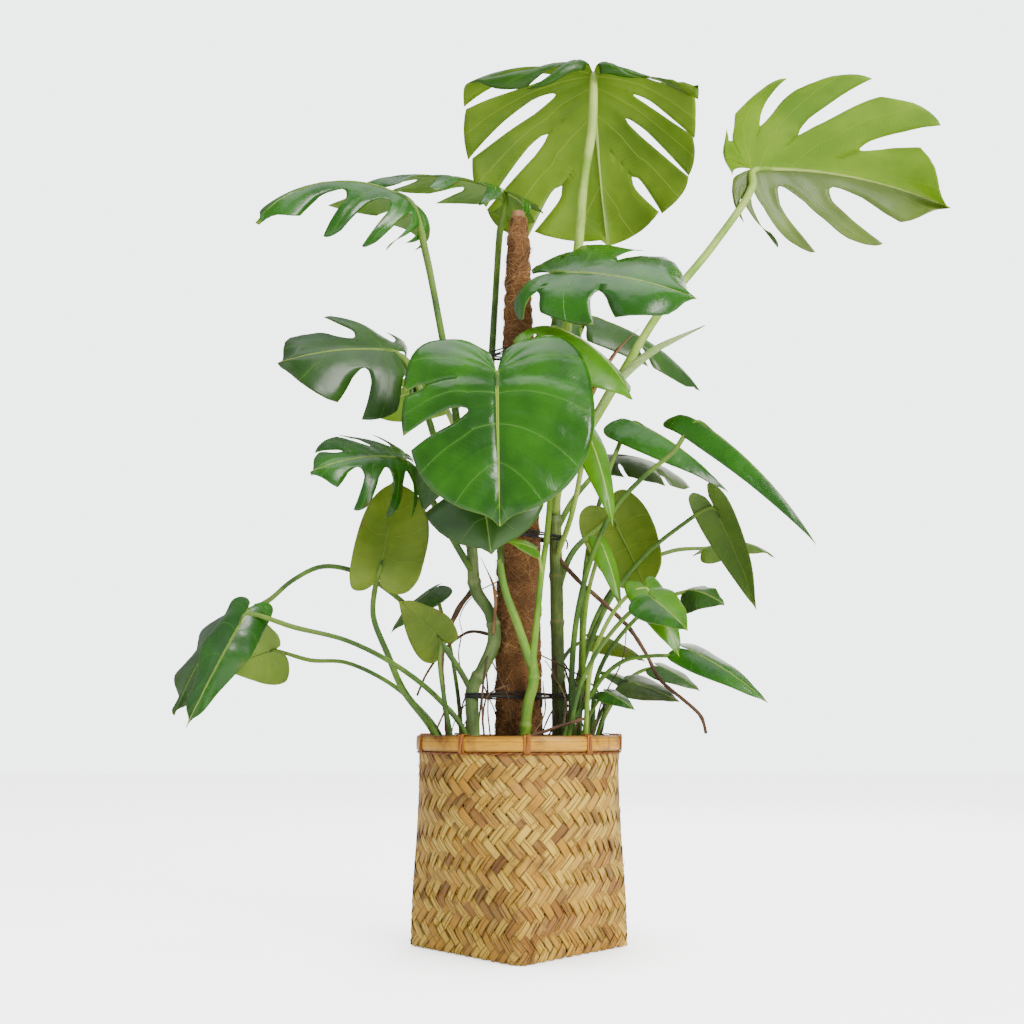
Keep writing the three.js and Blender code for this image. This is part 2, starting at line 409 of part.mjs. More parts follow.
function leafBlade(leaf) {
  const sheet = leafSheet(leaf);
  const cuts = cutSets[leaf.cuts];
  const slit = slits[leaf.slit ?? 'plain'];
  const outline = outlines[leaf.outline ?? (cuts.length ? 'lobed' : 'pointed')];
  const edges = [[0, 1, 1], ...cuts, [1, 1, 1]];
  const columns = cuts.length ? 2 : 5;
  const starts = [...new Set(cuts.flatMap((cut) => cut.slice(1, 3)))].filter((w) => w < 1).sort();
  const rows = cuts.length ? [0, starts[0], (starts[0] + 1) / 2, 1] : [0, 0.55, 1];
  const points = [];
  const known = new Map();
  const faces = [];

  function vertex(side, s, w) {
    const from = Math.max(0, (s - fanEnd) / (1 - fanEnd)) ** (leaf.fan ?? 1);
    const along = read(outline.along, s);
    const bow = 4 * veinSweep * w * (1 - w) * Math.min(1, 3 * (1 - s)) * Math.min(1, 3 * s);
    const u = s >= 1 ? 1 : from + (along - from) * w - bow;
    const v = s >= 1 ? 0 : read(outline.out, s) * w * sheet.halves[side < 0 ? 0 : 1];
    const p = sheet.place(u, side * v);
    const key = [p.x, p.y, p.z].map((x) => Math.round(x * 100)).join();
    if (!known.has(key)) {
      known.set(key, points.length);
      points.push(p);
    }
    return known.get(key);
  }

  for (const side of [-1, 1]) {
    const at = side < 0 ? 1 : 2;
    for (let k = 0; k < edges.length - 1; k++) {
      const pair = [edges[k], edges[k + 1]];
      const drawnIn = pair.map((cut, c) => (cut[at] < 1 ? slit[2 + c] : 0));
      const grid = rows.map((w) => Array.from({ length: columns + 1 }, (_, c) => {
        const opens = pair.map((cut) => slitWidth(w, cut[at], cut[at + 2] ?? 1, slit));
        const t = c / columns;
        const s = THREE.MathUtils.lerp(pair[0][0] + opens[0], pair[1][0] - opens[1], t);
        const short = w === 1 ? drawnIn[0] * (1 - t) ** 2 + drawnIn[1] * t ** 2 : 0;
        return vertex(side, s, w * (1 - short));
      }));
      for (let r = 0; r < rows.length - 1; r++) {
        for (let c = 0; c < columns; c++) {
          const [a, b, d, e] = [grid[r][c], grid[r][c + 1], grid[r + 1][c + 1], grid[r + 1][c]];
          const halves = side > 0 ? [[a, d, b], [a, e, d]] : [[a, b, d], [a, d, e]];
          faces.push(...halves.filter(([i, j, k2]) => i !== j && j !== k2 && k2 !== i));
        }
      }
    }
  }
  return sheetSolid(points, faces, bladeThickness);
}

// Thickens a sheet of triangles: both faces have the same triangles, with a wall round every edge
function sheetSolid(points, faces, thickness) {
  const normals = points.map(() => new THREE.Vector3());
  const edgeUses = new Map();
  for (const [i, j, k] of faces) {
    const n = points[j].clone().sub(points[i]).cross(points[k].clone().sub(points[i]));
    [i, j, k].forEach((p) => normals[p].add(n));
    [[i, j], [j, k], [k, i]].forEach(([a, b]) => {
      edgeUses.set(`${a}_${b}`, [a, b]);
    });
  }
  const vertices = [];
  points.forEach((p, i) => {
    const n = normals[i].normalize().multiplyScalar(thickness / 2);
    vertices.push(p.x + n.x, p.y + n.y, p.z + n.z);
  });
  points.forEach((p, i) => vertices.push(p.x - normals[i].x, p.y - normals[i].y, p.z - normals[i].z));
  const triangles = [];
  const below = points.length;
  for (const [i, j, k] of faces) triangles.push(i, j, k, below + i, below + k, below + j);
  for (const [a, b] of edgeUses.values()) {
    if (!edgeUses.has(`${b}_${a}`)) triangles.push(a, below + a, below + b, a, below + b, b);
  }
  return toSolid(vertices, triangles);
}

// The stalk runs into the underside of the blade and thins out along the midrib
function leafStalk(leaf, extra = 0) {
  const sheet = leafSheet(leaf);
  const top = leaf.radius[1];
  const start = sheet.place(0, 0);
  const tangent = sheet.place(0.01, 0).sub(start).normalize();
  const lift = sheet.up.clone().addScaledVector(tangent, -sheet.up.dot(tangent)).normalize();
  const under = start.clone().addScaledVector(lift, -0.8 * top);
  const end = sheet.place(midribReach, 0).addScaledVector(lift, -bladeThickness / 2);
  const points = [...leaf.petiole, under.toArray(), end.toArray()];
  const count = points.length;
  const radii = points.map((_, i) => THREE.MathUtils.lerp(leaf.radius[0], top, Math.min(1, i / (count - 2))));
  radii[count - 1] = midribTaper * top;
  const sides = top > thinPetiole ? petioleSides : thinPetioleSides;
  return rod(points, radii, { sides, spans: count > 5 ? 1 : 2, extra });
}

// Basket outline at a height: a rounded square at the foot that turns into a circle
function basketRing(z, inset) {
  const rise = THREE.MathUtils.smoothstep(z, basket.roundFrom, basket.roundAt);
  return Array.from({ length: basket.segments }, (_, i) => {
    const angle = (2 * Math.PI * i) / basket.segments;
    const turned = angle - Math.PI / 4;
    const n = basket.footSquareness;
    const square = basket.footHalfSide
      / (Math.abs(Math.cos(turned)) ** n + Math.abs(Math.sin(turned)) ** n) ** (1 / n);
    const radius = THREE.MathUtils.lerp(square, basket.topRadius, rise) - inset;
    return new THREE.Vector3(radius * Math.cos(angle), radius * Math.sin(angle), z);
  });
}

function basketBody() {
  const outer = [0, basket.footEdge, 75, 130, 185, 240, basket.height];
  const inner = [basket.height, 240, 185, 75, basket.floor];
  return loft([
    ...outer.map((z) => basketRing(z, z === 0 ? basket.footEdge : 0)),
    ...inner.map((z) => basketRing(z, basket.wall)),
  ]);
}

function turned(profile, segments) {
  const points = [...profile, profile[0]].map(([r, z]) => new THREE.Vector2(r, z));
  return solidOf(new THREE.LatheGeometry(points, segments).rotateX(Math.PI / 2));
}

function hoop(inner) {
  const outer = inner + rim.hoop;
  const low = rim.top - rim.height;
  const shoulder = rim.top - rim.rounding;
  return turned([[inner, low], [outer, low], [outer, shoulder], [(inner + outer) / 2, rim.top],
    [inner, shoulder]], basket.segments);
}

// Cane bindings wrap over both hoops and are joined by a strand under the outer one. A grown copy
// cuts their way through the basket wall.
function rimLashing(grow) {
  const outside = basket.topRadius + fit + rim.hoop + fit;
  const inside = basket.topRadius - basket.wall - fit - rim.hoop - 3 * fit;
  const low = rim.top - rim.height - fit;
  const high = rim.top + fit;
  const thick = lashing.thickness;
  const g = grow;
  const strandIn = basket.topRadius + fit - g;
  const strandOut = basket.topRadius + fit + lashing.strand + g;
  const strandLow = low - lashing.strand - g;
  let solid = turned([[strandIn, strandLow], [strandOut, strandLow], [strandOut, low + g],
    [strandIn, low + g]], basket.segments);
  for (let i = 0; i < rim.bindings; i++) {
    const loop = new THREE.Shape([
      [inside - thick - g, low - thick - g], [outside + thick + g, low - thick - g],
      [outside + thick + g, high + thick + g], [inside - thick - g, high + thick + g],
    ].map(([x, y]) => new THREE.Vector2(x, y)));
    loop.holes.push(new THREE.Path([
      [inside + g, low + g], [inside + g, high - g], [outside - g, high - g], [outside - g, low + g],
    ].map(([x, y]) => new THREE.Vector2(x, y))));
    const width = lashing.width + 2 * g;
    const band = new THREE.ExtrudeGeometry(loop, { depth: width, bevelEnabled: false })
      .translate(0, 0, -width / 2).rotateX(Math.PI / 2)
      .rotateZ(radians(rim.firstBinding - 90 + (i * 360) / rim.bindings));
    solid = solid.add(solidOf(band));
  }
  return solid;
}

function nurseryPot() {
  const low = basket.floor + fit;
  const { footRadius, topRadius, lipRadius, top, lip, wall } = pot;
  return turned([[0, low], [footRadius, low], [topRadius, top - lip], [lipRadius, top - lip],
    [lipRadius, top], [topRadius - wall, top], [footRadius - wall, low + wall], [0, low + wall]], pot.sides);
}

function soilBall() {
  const low = basket.floor + fit + pot.wall + fit;
  const inside = (z) => THREE.MathUtils.mapLinear(z, basket.floor + fit + pot.wall, pot.top, pot.footRadius,
    pot.topRadius) - pot.wall - 2 * fit;
  return turned([[0, low], [inside(low), low], [inside(soil.edge), soil.edge],
    [0.6 * inside(soil.edge), soil.crown], [0, soil.crown + 1]], pot.sides);
}

const sleeveBody = () => turned([...sleeve.profile.map(([z, r]) => [r, z]),
  [stake.radius + fit, sleeveTop], [stake.radius + fit, sleeveFoot]], sleeve.sides);

const sleeveRadius = (z) => {
  const i = Math.max(1, sleeve.profile.findIndex(([height]) => height > z));
  const [[z0, r0], [z1, r1]] = [sleeve.profile[i - 1], sleeve.profile[i]];
  return THREE.MathUtils.mapLinear(z, z0, z1, r0, r1);
};

function stemAt(rows, z) {
  const i = Math.max(1, rows.findIndex(([p]) => p[2] > z));
  const [[a, ra], [b, rb]] = [rows[i - 1], rows[i]];
  const t = (z - a[2]) / (b[2] - a[2]);
  const mix = (p, q) => THREE.MathUtils.lerp(p, q, t);
  return { x: mix(a[0], b[0]), y: mix(a[1], b[1]), radius: mix(ra, rb) };
}

// The outline of a band pulled round circles that stand side by side
function pulledRound(circles, clear) {
  const dots = circles.flatMap(({ x, y, radius }) => Array.from({ length: tie.corners }, (_, i) => {
    const angle = (2 * Math.PI * i) / tie.corners;
    return [x + (radius + clear) * Math.cos(angle), y + (radius + clear) * Math.sin(angle)];
  })).sort((a, b) => a[0] - b[0] || a[1] - b[1]);
  const turn = (o, a, b) => (a[0] - o[0]) * (b[1] - o[1]) - (a[1] - o[1]) * (b[0] - o[0]);
  const chain = (list) => list.reduce((hull, p) => {
    while (hull.length > 1 && turn(hull[hull.length - 2], hull[hull.length - 1], p) <= 0) hull.pop();
    hull.push(p);
    return hull;
  }, []);
  return [...chain(dots).slice(0, -1), ...chain([...dots].reverse()).slice(0, -1)]
    .map(([x, y]) => new THREE.Vector2(x, y));
}

const rowsOf = (name) => stems[name] ?? leaves[name].petiole.map((p) => [p, leaves[name].radius[0]]);

function tieBand({ height, around }) {
  const pole = { x: 0, y: 0, radius: sleeveRadius(height - tie.height / 2) };
  const circles = [pole, ...around.map((name) => stemAt(rowsOf(name), height))];
  const band = new THREE.Shape(pulledRound(circles, tie.slack + tie.thickness));
  band.holes.push(new THREE.Path(pulledRound(circles, tie.slack)));
  return solidOf(new THREE.ExtrudeGeometry(band, { depth: tie.height, bevelEnabled: false })
    .translate(0, 0, height - tie.height / 2));
}

const frontStemRod = (extra = 0) => Object.values(frontStem)
  .map((rows) => stemRod(rows, extra)).reduce((a, b) => a.add(b));

// The largest body of a solid, without the specks that a join can leave
const mainBody = (solid) => solid.decompose().sort((a, b) => b.volume() - a.volume())[0];

const group = new THREE.Group();

function addNode(name, solid, finish) {
  const { color, roughness } = finishes[finish];
  const material = new THREE.MeshStandardMaterial({ color, roughness, metalness: 0 });
  const mesh = new THREE.Mesh(geometryOf(mainBody(solid)), material);
  mesh.name = name;
  group.add(mesh);
}

const grownStems = {
  stem_main: stemRod(stems.stem_main, fit),
  stem_left: stemRod(stems.stem_left, fit),
  stem_front: frontStemRod(fit),
};

// What stands in the soil, each a little fatter than the piece itself, to cut the planting holes
const planted = [...Object.values(grownStems)];

addNode('stem_main', stemRod(stems.stem_main), 'stem');
addNode('stem_left', stemRod(stems.stem_left), 'stem');
addNode('stem_front', frontStemRod(), 'stem');

for (const [name, leaf] of Object.entries(leaves)) {
  let solid = leafBlade(leaf).add(leafStalk(leaf));
  if (leaf.on) solid = solid.subtract(grownStems[leaf.on]);
  else planted.push(leafStalk(leaf, fit));
  addNode(name, solid, leaf.finish);
}

for (const [name, root] of Object.entries(roots)) {
  let solid = rod(root.points, root.radius);
  if (root.on) solid = solid.subtract(grownStems[root.on]);
  if (root.points.some((p) => p[2] < soil.edge)) planted.push(rod(root.points, root.radius, { extra: fit }));
  addNode(name, solid, 'dryRoot');
}

const freed = (solid, on) => (on ? solid.subtract(leafStalk(leaves[on], fit)) : solid);
addNode('leaf_spear', freed(rod(spear.points, spear.radius, { sides: 7 }), spear.on), 'brightLeaf');
for (const [name, { points, radius, on }] of Object.entries(drySheaths)) {
  addNode(name, freed(rod(points, radius), on), 'drySheath');
}
for (const [name, row] of Object.entries(ties)) addNode(name, tieBand(row), 'tieBlack');

const stakeRod = (radius) => turned([[0, stake.foot], [radius, stake.foot], [radius, stake.top],
  [0, stake.top + 2]], 12);
const sleeveHole = sleeveFootRadius + fit;
planted.push(stakeRod(stake.radius + fit), turned([[0, sleeveFoot - fit], [sleeveHole, sleeveFoot - fit],
  [sleeveHole, rim.top], [0, rim.top]], sleeve.sides));
addNode('pole_stake', stakeRod(stake.radius), 'stakeWood');
addNode('coir_sleeve', sleeveBody(), 'coir');

addNode('soil', planted.reduce((ball, hole) => ball.subtract(hole), soilBall()), 'soil');
addNode('nursery_pot', nurseryPot(), 'potPlastic');
addNode('basket_body', basketBody().subtract(rimLashing(fit)), 'bamboo');
addNode('basket_rim_outer', hoop(basket.topRadius + fit), 'rimCane');
addNode('basket_rim_inner', hoop(basket.topRadius - basket.wall - fit - rim.hoop), 'rimCane');
addNode('rim_lashing', rimLashing(0), 'rimCane');

export default group;
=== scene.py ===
# Potted swiss cheese plant on a coir pole in a bamboo basket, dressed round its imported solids.
# Plant measures are in millimetres and are turned into metres when a mesh is made.
import bpy
import math
import random
import numpy as np
from mathutils import Matrix, Vector, noise


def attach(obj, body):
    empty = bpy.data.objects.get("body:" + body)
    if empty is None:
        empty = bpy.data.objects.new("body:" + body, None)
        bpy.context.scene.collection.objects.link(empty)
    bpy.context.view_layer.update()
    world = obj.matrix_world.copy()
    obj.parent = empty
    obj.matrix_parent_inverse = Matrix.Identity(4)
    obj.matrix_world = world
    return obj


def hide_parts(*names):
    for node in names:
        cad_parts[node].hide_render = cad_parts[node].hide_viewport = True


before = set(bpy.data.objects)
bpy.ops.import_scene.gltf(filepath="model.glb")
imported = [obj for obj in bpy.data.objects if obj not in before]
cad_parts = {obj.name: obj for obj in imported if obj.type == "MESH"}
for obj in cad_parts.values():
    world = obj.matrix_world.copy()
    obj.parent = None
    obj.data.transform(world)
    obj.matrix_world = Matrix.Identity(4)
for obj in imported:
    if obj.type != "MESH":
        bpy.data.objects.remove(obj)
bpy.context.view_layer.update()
scene = bpy.context.scene
mm = 0.001


def tone(red, green, blue):  # a screen colour from 0 to 255 as linear light
    def linear(c):
        c /= 255
        return c / 12.92 if c <= 0.04045 else ((c + 0.055) / 1.055) ** 2.4
    return (linear(red), linear(green), linear(blue), 1.0)


def unit(v):
    v = np.asarray(v, float)
    return v / np.linalg.norm(v)


def unitRows(rows):
    return rows / np.linalg.norm(rows, axis=1)[:, None]


def wobble(p, size, seed=0.0):  # smooth noise from -1 to 1 at a point in millimetres
    return noise.noise(Vector((p[0] / size + seed, p[1] / size - seed, p[2] / size + 2 * seed)))


def camel(name):  # leaf_crown becomes leafCrown
    first, *others = name.split("_")
    return first + "".join(word.capitalize() for word in others)


# Curves and tubes

def alongCurve(points, steps):  # the same centripetal curve as the solids follow, evenly in its points
    points = [np.asarray(p, float) for p in points]
    last = len(points) - 1
    out = []
    for step in range(steps + 1):
        at = min(step / steps * last, last - 1e-9)
        i, t = int(at), at - int(at)
        b, c = points[i], points[i + 1]
        a = points[i - 1] if i else 2 * b - c
        d = points[i + 2] if i + 2 <= last else 2 * c - b
        gaps = [max(np.linalg.norm(q - p) ** 0.5, 1e-4) for p, q in ((a, b), (b, c), (c, d))]
        m1 = ((b - a) / gaps[0] - (c - a) / (gaps[0] + gaps[1]) + (c - b) / gaps[1]) * gaps[1]
        m2 = ((c - b) / gaps[1] - (d - b) / (gaps[1] + gaps[2]) + (d - c) / gaps[2]) * gaps[1]
        out.append(b + m1 * t + (3 * (c - b) - 2 * m1 - m2) * t ** 2 + (2 * (b - c) + m1 + m2) * t ** 3)
    return np.array(out)


def alongTable(values, steps):  # straight steps through evenly spaced values
    at = np.linspace(0, len(values) - 1, steps + 1)
    return np.interp(at, np.arange(len(values)), values)


def turnedFrames(path, first=(0.3, -1.0, 0.2)):  # two directions across the path at each point, without twist
    ahead = unitRows(np.gradient(path, axis=0))
    across = np.array(first, float)
    sides, thirds = [], []
    for a in ahead:
        across = unit(across - a * across.dot(a))
        sides.append(across)
        thirds.append(np.cross(a, across))
    return np.array(sides), np.array(thirds), ahead


def lengthsAlong(path):
    return np.concatenate([[0], np.cumsum(np.linalg.norm(np.diff(path, axis=0), axis=1))])


class Shape:  # gathers faces with values at their corners, then becomes one mesh
    def __init__(self):
        self.points, self.faces, self.paints, self.values = [], [], [], []

    def add(self, points, faces, paint=0, values=None):
        start = sum(len(p) for p in self.points)
        self.points.append(np.asarray(points, float))
        for k, face in enumerate(faces):
            self.faces.append([start + i for i in face])
            self.paints.append(paint if isinstance(paint, int) else paint[k])
            if values is None:
                self.values.append([(0, 0, 0, 0, 0, 0)] * len(face))
            else:
                self.values.append(values[k])

    def piece(self, name, paints, node, slot, crease=None):
        mesh = bpy.data.meshes.new(name)
        mesh.from_pydata((np.concatenate(self.points) * mm).tolist(), [], self.faces)
        mesh.polygons.foreach_set("material_index", self.paints)
        mesh.polygons.foreach_set("use_smooth", [True] * len(self.faces))
        flat = np.array([v for corners in self.values for v in corners], np.float32)
        for title, columns in (("reach", flat[:, :3]), ("place", flat[:, 3:])):
            layer = mesh.attributes.new(title, "FLOAT_VECTOR", "CORNER")
            layer.data.foreach_set("vector", np.ascontiguousarray(columns).ravel())
        if crease:
            mesh.set_sharp_from_angle(angle=math.radians(crease))
        mesh.validate()
        mesh.update()
        piece = bpy.data.objects.new(name, mesh)
        scene.collection.objects.link(piece)
        for paint in paints:
            mesh.materials.append(paint)
        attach(piece, "root")
        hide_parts(node)


def ringFaces(tall, sides, value=lambda i, k: (0,) * 6, closed=False):
    # the faces between rings of points, and their corner values; closed joins the last ring to the first
    faces, values = [], []
    for i in range(tall if closed else tall - 1):
        j = (i + 1) % tall
        for k in range(sides):
            n = (k + 1) % sides
            faces.append((i * sides + k, i * sides + n, j * sides + n, j * sides + k))
            values.append([value(i, k), value(i, k + 1), value(i + 1, k + 1), value(i + 1, k)])
    return faces, values


def sheetFaces(tall, columns, value):  # the faces of two layers of points, closed along their border
    wide = columns + 1
    under = tall * wide
    faces, values = [], []
    for i in range(tall - 1):
        for c in range(columns):
            ring = [(i, c), (i, c + 1), (i + 1, c + 1), (i + 1, c)]
            faces.append([a * wide + b for a, b in ring])
            values.append([value(a, b, 0) for a, b in ring])
            faces.append([under + a * wide + b for a, b in reversed(ring)])
            values.append([value(a, b, 1) for a, b in reversed(ring)])
    border = [(0, c) for c in range(columns)] + [(i, columns) for i in range(tall - 1)]
    border += [(tall - 1, columns - c) for c in range(columns)] + [(tall - 1 - i, 0) for i in range(tall - 1)]
    for n, a in enumerate(border):
        b = border[(n + 1) % len(border)]
        one, two = a[0] * wide + a[1], b[0] * wide + b[1]
        faces.append([two, one, under + one, under + two])
        values.append([value(*b, 0), value(*a, 0), value(*a, 1), value(*b, 1)])
    return faces, values


def tubeInto(shape, path, radii, sides=10, paint=0, mark=0.0, seed=0.0, rough=0.0, first=(0.3, -1.0, 0.2)):
    # a capped tube; corner values are angle, length along, radius, then mark, share along and seed
    across, third, ahead = turnedFrames(path, first)
    run = lengthsAlong(path)
    turns = np.linspace(0, 2 * math.pi, sides, endpoint=False)
    points = []
    for i, centre in enumerate(path):
        for turn in turns:
            p = centre + across[i] * math.cos(turn) * radii[i] + third[i] * math.sin(turn) * radii[i]
            if rough:
                p = p + (p - centre) * rough * wobble(p, 9.0, seed)
            points.append(p)
    points += [path[0] - ahead[0] * radii[0] * 0.3, path[-1] + ahead[-1] * radii[-1] * 0.5]
    marks = np.broadcast_to(mark, (len(path),))

    def value(i, k):
        return (k / sides, run[i], radii[i], marks[i], run[i] / run[-1], seed)
    faces, values = ringFaces(len(path), sides, value)
    low, high, end = len(points) - 2, len(points) - 1, len(path) - 1
    for k in range(sides):
        n = (k + 1) % sides
        faces += [(low, n, k), (high, end * sides + k, end * sides + n)]
        values += [[value(0, k)] * 3, [value(end, k)] * 3]
    shape.add(points, faces, paint, values)


# Shader helpers

def put(tree, kind, links=None, **settings):  # a node with its settings, and its sockets set or joined
    made = tree.nodes.new("ShaderNode" + kind)
    for key, value in settings.items():
        setattr(made, key, value)
    for key, value in (links or {}).items():
        if isinstance(value, bpy.types.NodeSocket):
            tree.links.new(value, made.inputs[key])
        else:
            made.inputs[key].default_value = value
    return made


def sums(tree, operation, a, b=0.0, c=0.0):
    return put(tree, "Math", {0: a, 1: b, 2: c}, operation=operation).outputs[0]


def times(tree, a, b):
    return sums(tree, "MULTIPLY", a, b)


def plus(tree, a, b):
    return sums(tree, "ADD", a, b)


def timesPlus(tree, a, b, c):
    return sums(tree, "MULTIPLY_ADD", a, b, c)


def ramp(tree, value, low, high, start=0.0, end=1.0):  # a smooth step from start to end
    links = {"Value": value, "From Min": low, "From Max": high, "To Min": start, "To Max": end}
    return put(tree, "MapRange", links, interpolation_type="SMOOTHSTEP").outputs["Result"]


def mixed(tree, share, a, b, how="MIX"):
    made = put(tree, "Mix", {0: share}, data_type="RGBA", blend_type=how)
    for socket, value in ((made.inputs[6], a), (made.inputs[7], b)):
        if isinstance(value, bpy.types.NodeSocket):
            tree.links.new(value, socket)
        else:
            socket.default_value = value
    return made.outputs[2]


def grain(tree, place, size, detail=3.0, rough=0.5):  # noise from 0 to 1; size is its scale
    links = {"Vector": place, "Scale": size, "Detail": detail, "Roughness": rough}
    return put(tree, "TexNoise", links).outputs[0]


def spread(tree, x, y, z):
    return put(tree, "CombineXYZ", {0: x, 1: y, 2: z}).outputs[0]


def shuffle(tree, value, by):  # a number from 0 to 1 that jumps about with the value
    turned = sums(tree, "SINE", times(tree, value, by))
    return sums(tree, "FRACT", times(tree, turned, 437.585))


def corners(tree, title):  # the three values kept under a title at each corner
    read = put(tree, "Attribute", attribute_name=title)
    return put(tree, "SeparateXYZ", {0: read.outputs["Vector"]}).outputs


colour, number = "NodeSocketColor", "NodeSocketFloat"
effectGives = [("Color", colour), ("Roughness", number), ("Height", number), ("Glow", colour)]


def newGroup(title, takes):
    tree = bpy.data.node_groups.new(title, "ShaderNodeTree")
    for name, kind, value in takes:
        socket = tree.interface.new_socket(name=name, in_out="INPUT", socket_type=kind)
        socket.default_value = tone(*value) if kind == colour else value
    for name, kind in effectGives:
        tree.interface.new_socket(name=name, in_out="OUTPUT", socket_type=kind)
    return tree, tree.nodes.new("NodeGroupInput").outputs, tree.nodes.new("NodeGroupOutput").inputs


def finished(tree, gives, tint, roughness, height, glow=None):
    values = (tint, roughness, height, tint if glow is None else glow)
    for (name, _), value in zip(effectGives, values):
        tree.links.new(value, gives[name])
    return tree


def place(tree):
    return put(tree, "TexCoord").outputs["Object"]


def newMaterial(title, group, values, through=0.0, bump=1.0, **fixed):
    # one shader fed by a group; through is the share of light that passes a thin blade
    material = bpy.data.materials.new(title)
    material.use_nodes = True
    tree = material.node_tree
    tree.nodes.clear()
    effect = put(tree, "Group", node_tree=group)
    for key, value in values.items():
        effect.inputs[key].default_value = tone(*value) if isinstance(value, tuple) else value
    made = effect.outputs
    relief = put(tree, "Bump", {"Height": made["Height"], "Distance": bump * mm, "Strength": 1.0}).outputs[0]
    surface = put(tree, "BsdfPrincipled", {"Base Color": made["Color"], "Roughness": made["Roughness"],
                                           "Normal": relief})
    for key, value in fixed.items():
        surface.inputs[key].default_value = value
    end = put(tree, "OutputMaterial")
    if through:
        glow = put(tree, "BsdfTranslucent", {"Color": made["Glow"]})
        blend = put(tree, "MixShader", {0: through, 1: surface.outputs[0], 2: glow.outputs[0]})
        tree.links.new(blend.outputs[0], end.inputs[0])
    else:
        tree.links.new(surface.outputs[0], end.inputs[0])
    return material


def makeBladeGroup():
    # leaf tissue. reach holds the distances to the side vein, midrib (in its own half widths) and edge,
    # and place holds a number for the lobe, the distance out from the midrib and 1 on the underside
    tree, takes, gives = newGroup("leaf tissue", [
        ("Top", colour, (44, 104, 38)), ("Top light", colour, (70, 130, 52)),
        ("Top vein", colour, (120, 165, 80)), ("Under", colour, (118, 152, 74)),
        ("Under light", colour, (150, 180, 90)), ("Under vein", colour, (190, 205, 130)),
        ("Edge", colour, (170, 180, 90)), ("Gloss", number, 0.25), ("Vein width", number, 1.2),
        ("Age", number, 0.3)])
    vein, rib, edge = corners(tree, "reach")
    lobe, out, under = corners(tree, "place")
    where = place(tree)
    vein = sums(tree, "ABSOLUTE", vein)
    sideVein = ramp(tree, sums(tree, "DIVIDE", vein, takes["Vein width"]), 0.35, 1.0, 1.0, 0.0)
    midVein = ramp(tree, rib, 0.75, 1.05, 1.0, 0.0)
    wander = grain(tree, where, 45, 2)
    course = timesPlus(tree, vein, 1.15, timesPlus(tree, wander, 6.0, out))
    beat = sums(tree, "FRACT", sums(tree, "DIVIDE", course, 7.5))
    fine = sums(tree, "ABSOLUTE", sums(tree, "SUBTRACT", beat, 0.5))
    fineVein = ramp(tree, fine, 0.0, 0.14, 1.0, 0.0)
    cells = grain(tree, where, 900, 2)
    patches = ramp(tree, grain(tree, where, 11, 3, 0.55), 0.35, 0.68)
    lobeTone = sums(tree, "FRACT", times(tree, lobe, 7.31))
    shade = plus(tree, times(tree, patches, 0.7), times(tree, lobeTone, 0.3))
    top = mixed(tree, shade, takes["Top"], takes["Top light"])
    top = mixed(tree, times(tree, fineVein, 0.06), top, takes["Top vein"])
    # painted light: the top side is lighter beside each side vein, standing in for light on the quilted
    # bulges between veins
    quiltLightNearVein = ramp(tree, sums(tree, "DIVIDE", vein, takes["Vein width"]), 0.5, 5.0, 0.22, 0.0)
    top = mixed(tree, quiltLightNearVein, top, takes["Top light"])
    top = mixed(tree, times(tree, sideVein, 0.32), top, takes["Top vein"])
    top = mixed(tree, midVein, top, takes["Under vein"])
    # painted light: the underside tints hold the underside's own paler green plus a painted glow of light
    # shining through the blade
    low = mixed(tree, shade, takes["Under"], takes["Under light"])
    low = mixed(tree, times(tree, fineVein, 0.1), low, takes["Under vein"])
    low = mixed(tree, times(tree, sideVein, 0.4), low, takes["Under vein"])
    low = mixed(tree, midVein, low, takes["Under vein"])
    both = mixed(tree, under, top, low)
    both = mixed(tree, ramp(tree, edge, 0.2, 0.8, 0.55, 0.0), both, takes["Edge"])
    nearEdge = ramp(tree, edge, 1.0, 11.0, 1.0, 0.0)
    spots = times(tree, nearEdge, ramp(tree, grain(tree, where, 38, 4, 0.6), 0.6, 0.7))
    both = mixed(tree, times(tree, spots, takes["Age"]), both, tone(120, 84, 38))
    glow = mixed(tree, 0.45, both, tone(205, 225, 60))
    dull = plus(tree, takes["Gloss"], times(tree, under, 0.2))
    rough = timesPlus(tree, grain(tree, where, 60, 2), 0.16, dull)
    way = timesPlus(tree, under, 2.0, -1.0)
    ribs = plus(tree, times(tree, sideVein, 0.6), times(tree, fineVein, 0.05))
    ribs = plus(tree, ribs, times(tree, midVein, 0.5))
    ribs = plus(tree, ribs, times(tree, grain(tree, where, 62, 2, 0.4), 1.3))
    height = plus(tree, times(tree, ribs, way), times(tree, cells, 0.01))
    return finished(tree, gives, both, rough, height, glow)


